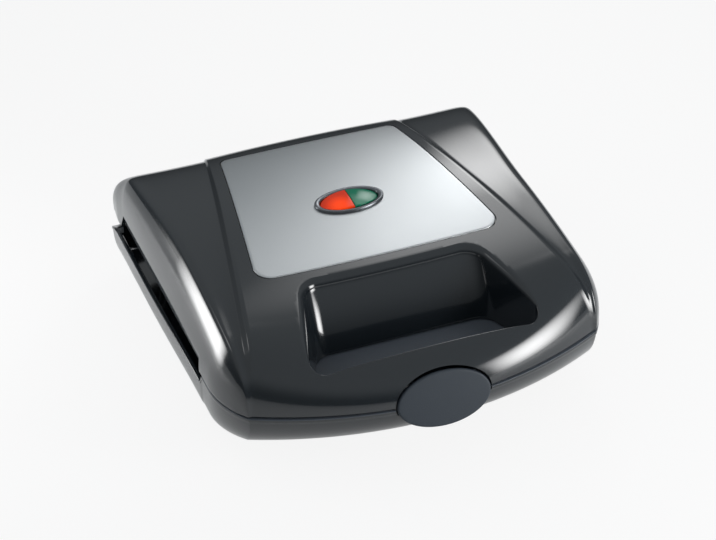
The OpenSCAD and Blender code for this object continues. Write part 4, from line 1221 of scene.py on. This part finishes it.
# %% Floor and world
def backdrop():
    """A wide pale floor. To the camera most of it shines evenly; the rest keeps the shadow."""
    far = 6000
    corners = [[-far, -far, 0], [far, -far, 0], [far, far, 0], [-far, far, 0]]
    floor = make("floor", corners, [[0, 1, 2, 3]])
    material = finish("pale_floor", (0.92, 0.92, 0.92), Roughness=0.9)
    tree = material.node_tree
    add(tree, "shine", "ShaderNodeEmission")
    add(tree, "path", "ShaderNodeLightPath")
    add(tree, "pick", "ShaderNodeMixShader")
    for name, share in (("seen", 0.88), ("mirrored", 0.25), ("through_glass", 0.25)):
        add(tree, name, "ShaderNodeMath", {1: share, 2: 0.0}, operation="MULTIPLY_ADD",
            use_clamp=True)
    wire(tree, "path.Is Camera Ray > seen.0, path.Is Glossy Ray > mirrored.0, "
               "path.Is Transmission Ray > through_glass.0, seen.Value > mirrored.2, "
               "mirrored.Value > through_glass.2, through_glass.Value > pick.Fac, "
               "Principled BSDF.BSDF > pick.1, shine.Emission > pick.2, "
               "pick.Shader > Material Output.Surface")
    floor.data.materials.append(material)


def studio_world(dark, bright):
    """A world that is dim at the horizon and brighter above, and that the camera sees as white."""
    world = bpy.data.worlds.new("studio")
    bpy.context.scene.world = world
    world.use_nodes = True
    tree = world.node_tree
    tree.nodes["Background"].inputs["Color"].default_value = (0.90, 0.96, 1.0, 1)
    add(tree, "place", "ShaderNodeTexCoord")
    add(tree, "lean", "ShaderNodeVectorMath", {1: (0.0, 0.0, 1.0)}, operation="DOT_PRODUCT")
    add(tree, "ramp", "ShaderNodeMapRange", {"From Min": 0.1, "From Max": 0.65, "To Min": dark,
                                             "To Max": bright}, interpolation_type="SMOOTHSTEP")
    add(tree, "path", "ShaderNodeLightPath")
    add(tree, "pick", "ShaderNodeMixShader")
    add(tree, "pale", "ShaderNodeBackground", {"Color": (1, 1, 1, 1)})
    wire(tree, "place.Generated > lean.0, lean.Value > ramp.Value, "
               "ramp.Result > Background.Strength, path.Is Camera Ray > pick.Fac, "
               "Background.Background > pick.1, pale.Background > pick.2, "
               "pick.Shader > World Output.Surface")


backdrop()
studio_world(0.09, 0.38)


# %% Lights
def soft_edges(light):
    """Dims a panel toward its edges, as cloth over a lamp does: 4u(1 - u) * 4v(1 - v)."""
    light.use_nodes = True
    tree = light.node_tree
    add(tree, "place", "ShaderNodeNewGeometry")
    add(tree, "split", "ShaderNodeSeparateXYZ")
    for axis in "XY":
        add(tree, "rest" + axis, "ShaderNodeMath", {0: 1.0}, operation="SUBTRACT")
        add(tree, "share" + axis, "ShaderNodeMath", operation="MULTIPLY")
    add(tree, "product", "ShaderNodeMath", operation="MULTIPLY")
    add(tree, "scale", "ShaderNodeMath", {1: 16.0}, operation="MULTIPLY")
    wire(tree, "place.Parametric > split.Vector, split.X > restX.1, split.X > shareX.0, "
               "restX.Value > shareX.1, split.Y > restY.1, split.Y > shareY.0, "
               "restY.Value > shareY.1, shareX.Value > product.0, shareY.Value > product.1, "
               "product.Value > scale.0, scale.Value > Emission.Strength")


def stand(name, data, axes, place):
    """Puts a lamp or a camera at a place in millimetres, turned to its own three axes."""
    made = bpy.data.objects.new(name, data)
    bpy.context.scene.collection.objects.link(made)
    made.matrix_world = Matrix([*np.column_stack([*axes, place * MM]).tolist(), [0, 0, 0, 1]])
    return made


def toward(azimuth_deg, elevation_deg):
    """The direction that is azimuth_deg from +Y toward +X, and elevation_deg up."""
    a, e = math.radians(azimuth_deg), math.radians(elevation_deg)
    return np.array([math.sin(a) * math.cos(e), math.cos(a) * math.cos(e), math.sin(e)])


def panel(name, direction, distance, width, height, watts, aim=(0, 0, 60)):
    """A soft panel light that stands in a direction from aim, in millimetres, and faces it."""
    light = bpy.data.lights.new(name, "AREA")
    light.shape, light.size, light.size_y = "RECTANGLE", width * MM, height * MM
    light.energy = watts
    soft_edges(light)
    x = np.cross([0, 0, 1], direction)
    x /= np.linalg.norm(x)
    lamp = stand(name, light, [x, np.cross(direction, x), direction], aim + direction * distance)
    lamp.visible_camera = False


panel("front_right_strip", toward(137, 12), 700, 340, 420, 5.6)
panel("back_right_box", toward(24.5, 36), 500, 130, 200, 0.36, (100, 20, 84))
panel("back_right_cloth", toward(27, 48), 560, 250, 300, 0.46, (75, 0, 84))
panel("upper_left_cloth", toward(-62, 50), 600, 260, 260, 0.32)
panel("back_left_strip", toward(-50, 2), 360, 190, 190, 1.1, (-85, -60, 75))

# %% Camera
azimuth, elevation, roll = -20.4647, 34.3898, math.radians(-1.3842)
distance, target = 1145.32, np.array([1.1565, 7.6347 - box_middle_y, 45.0])
focal_px, image_w, sensor_w = 2004.2, 716, 36
nudge = (-1.15, 0.57)                                    # the camera's own small step right and up


def place_camera():
    """Looks at the target from the azimuth and elevation, turned about its own axis by the roll."""
    back = toward(180 - azimuth, elevation)
    right = np.cross(-back, [0, 0, 1])
    right /= np.linalg.norm(right)
    up = np.cross(right, -back)
    turned = math.cos(roll) * right + math.sin(roll) * up
    turned_up = -math.sin(roll) * right + math.cos(roll) * up
    glass = bpy.data.cameras.new("camera")
    glass.sensor_width, glass.lens = sensor_w, sensor_w * focal_px / image_w
    glass.clip_start, glass.clip_end = 0.05, 50
    place = target + back * distance + nudge[0] * turned + nudge[1] * turned_up
    bpy.context.scene.camera = stand("camera", glass, [turned, turned_up, back], place)


place_camera()
bpy.context.scene.view_settings.view_transform = "Standard"
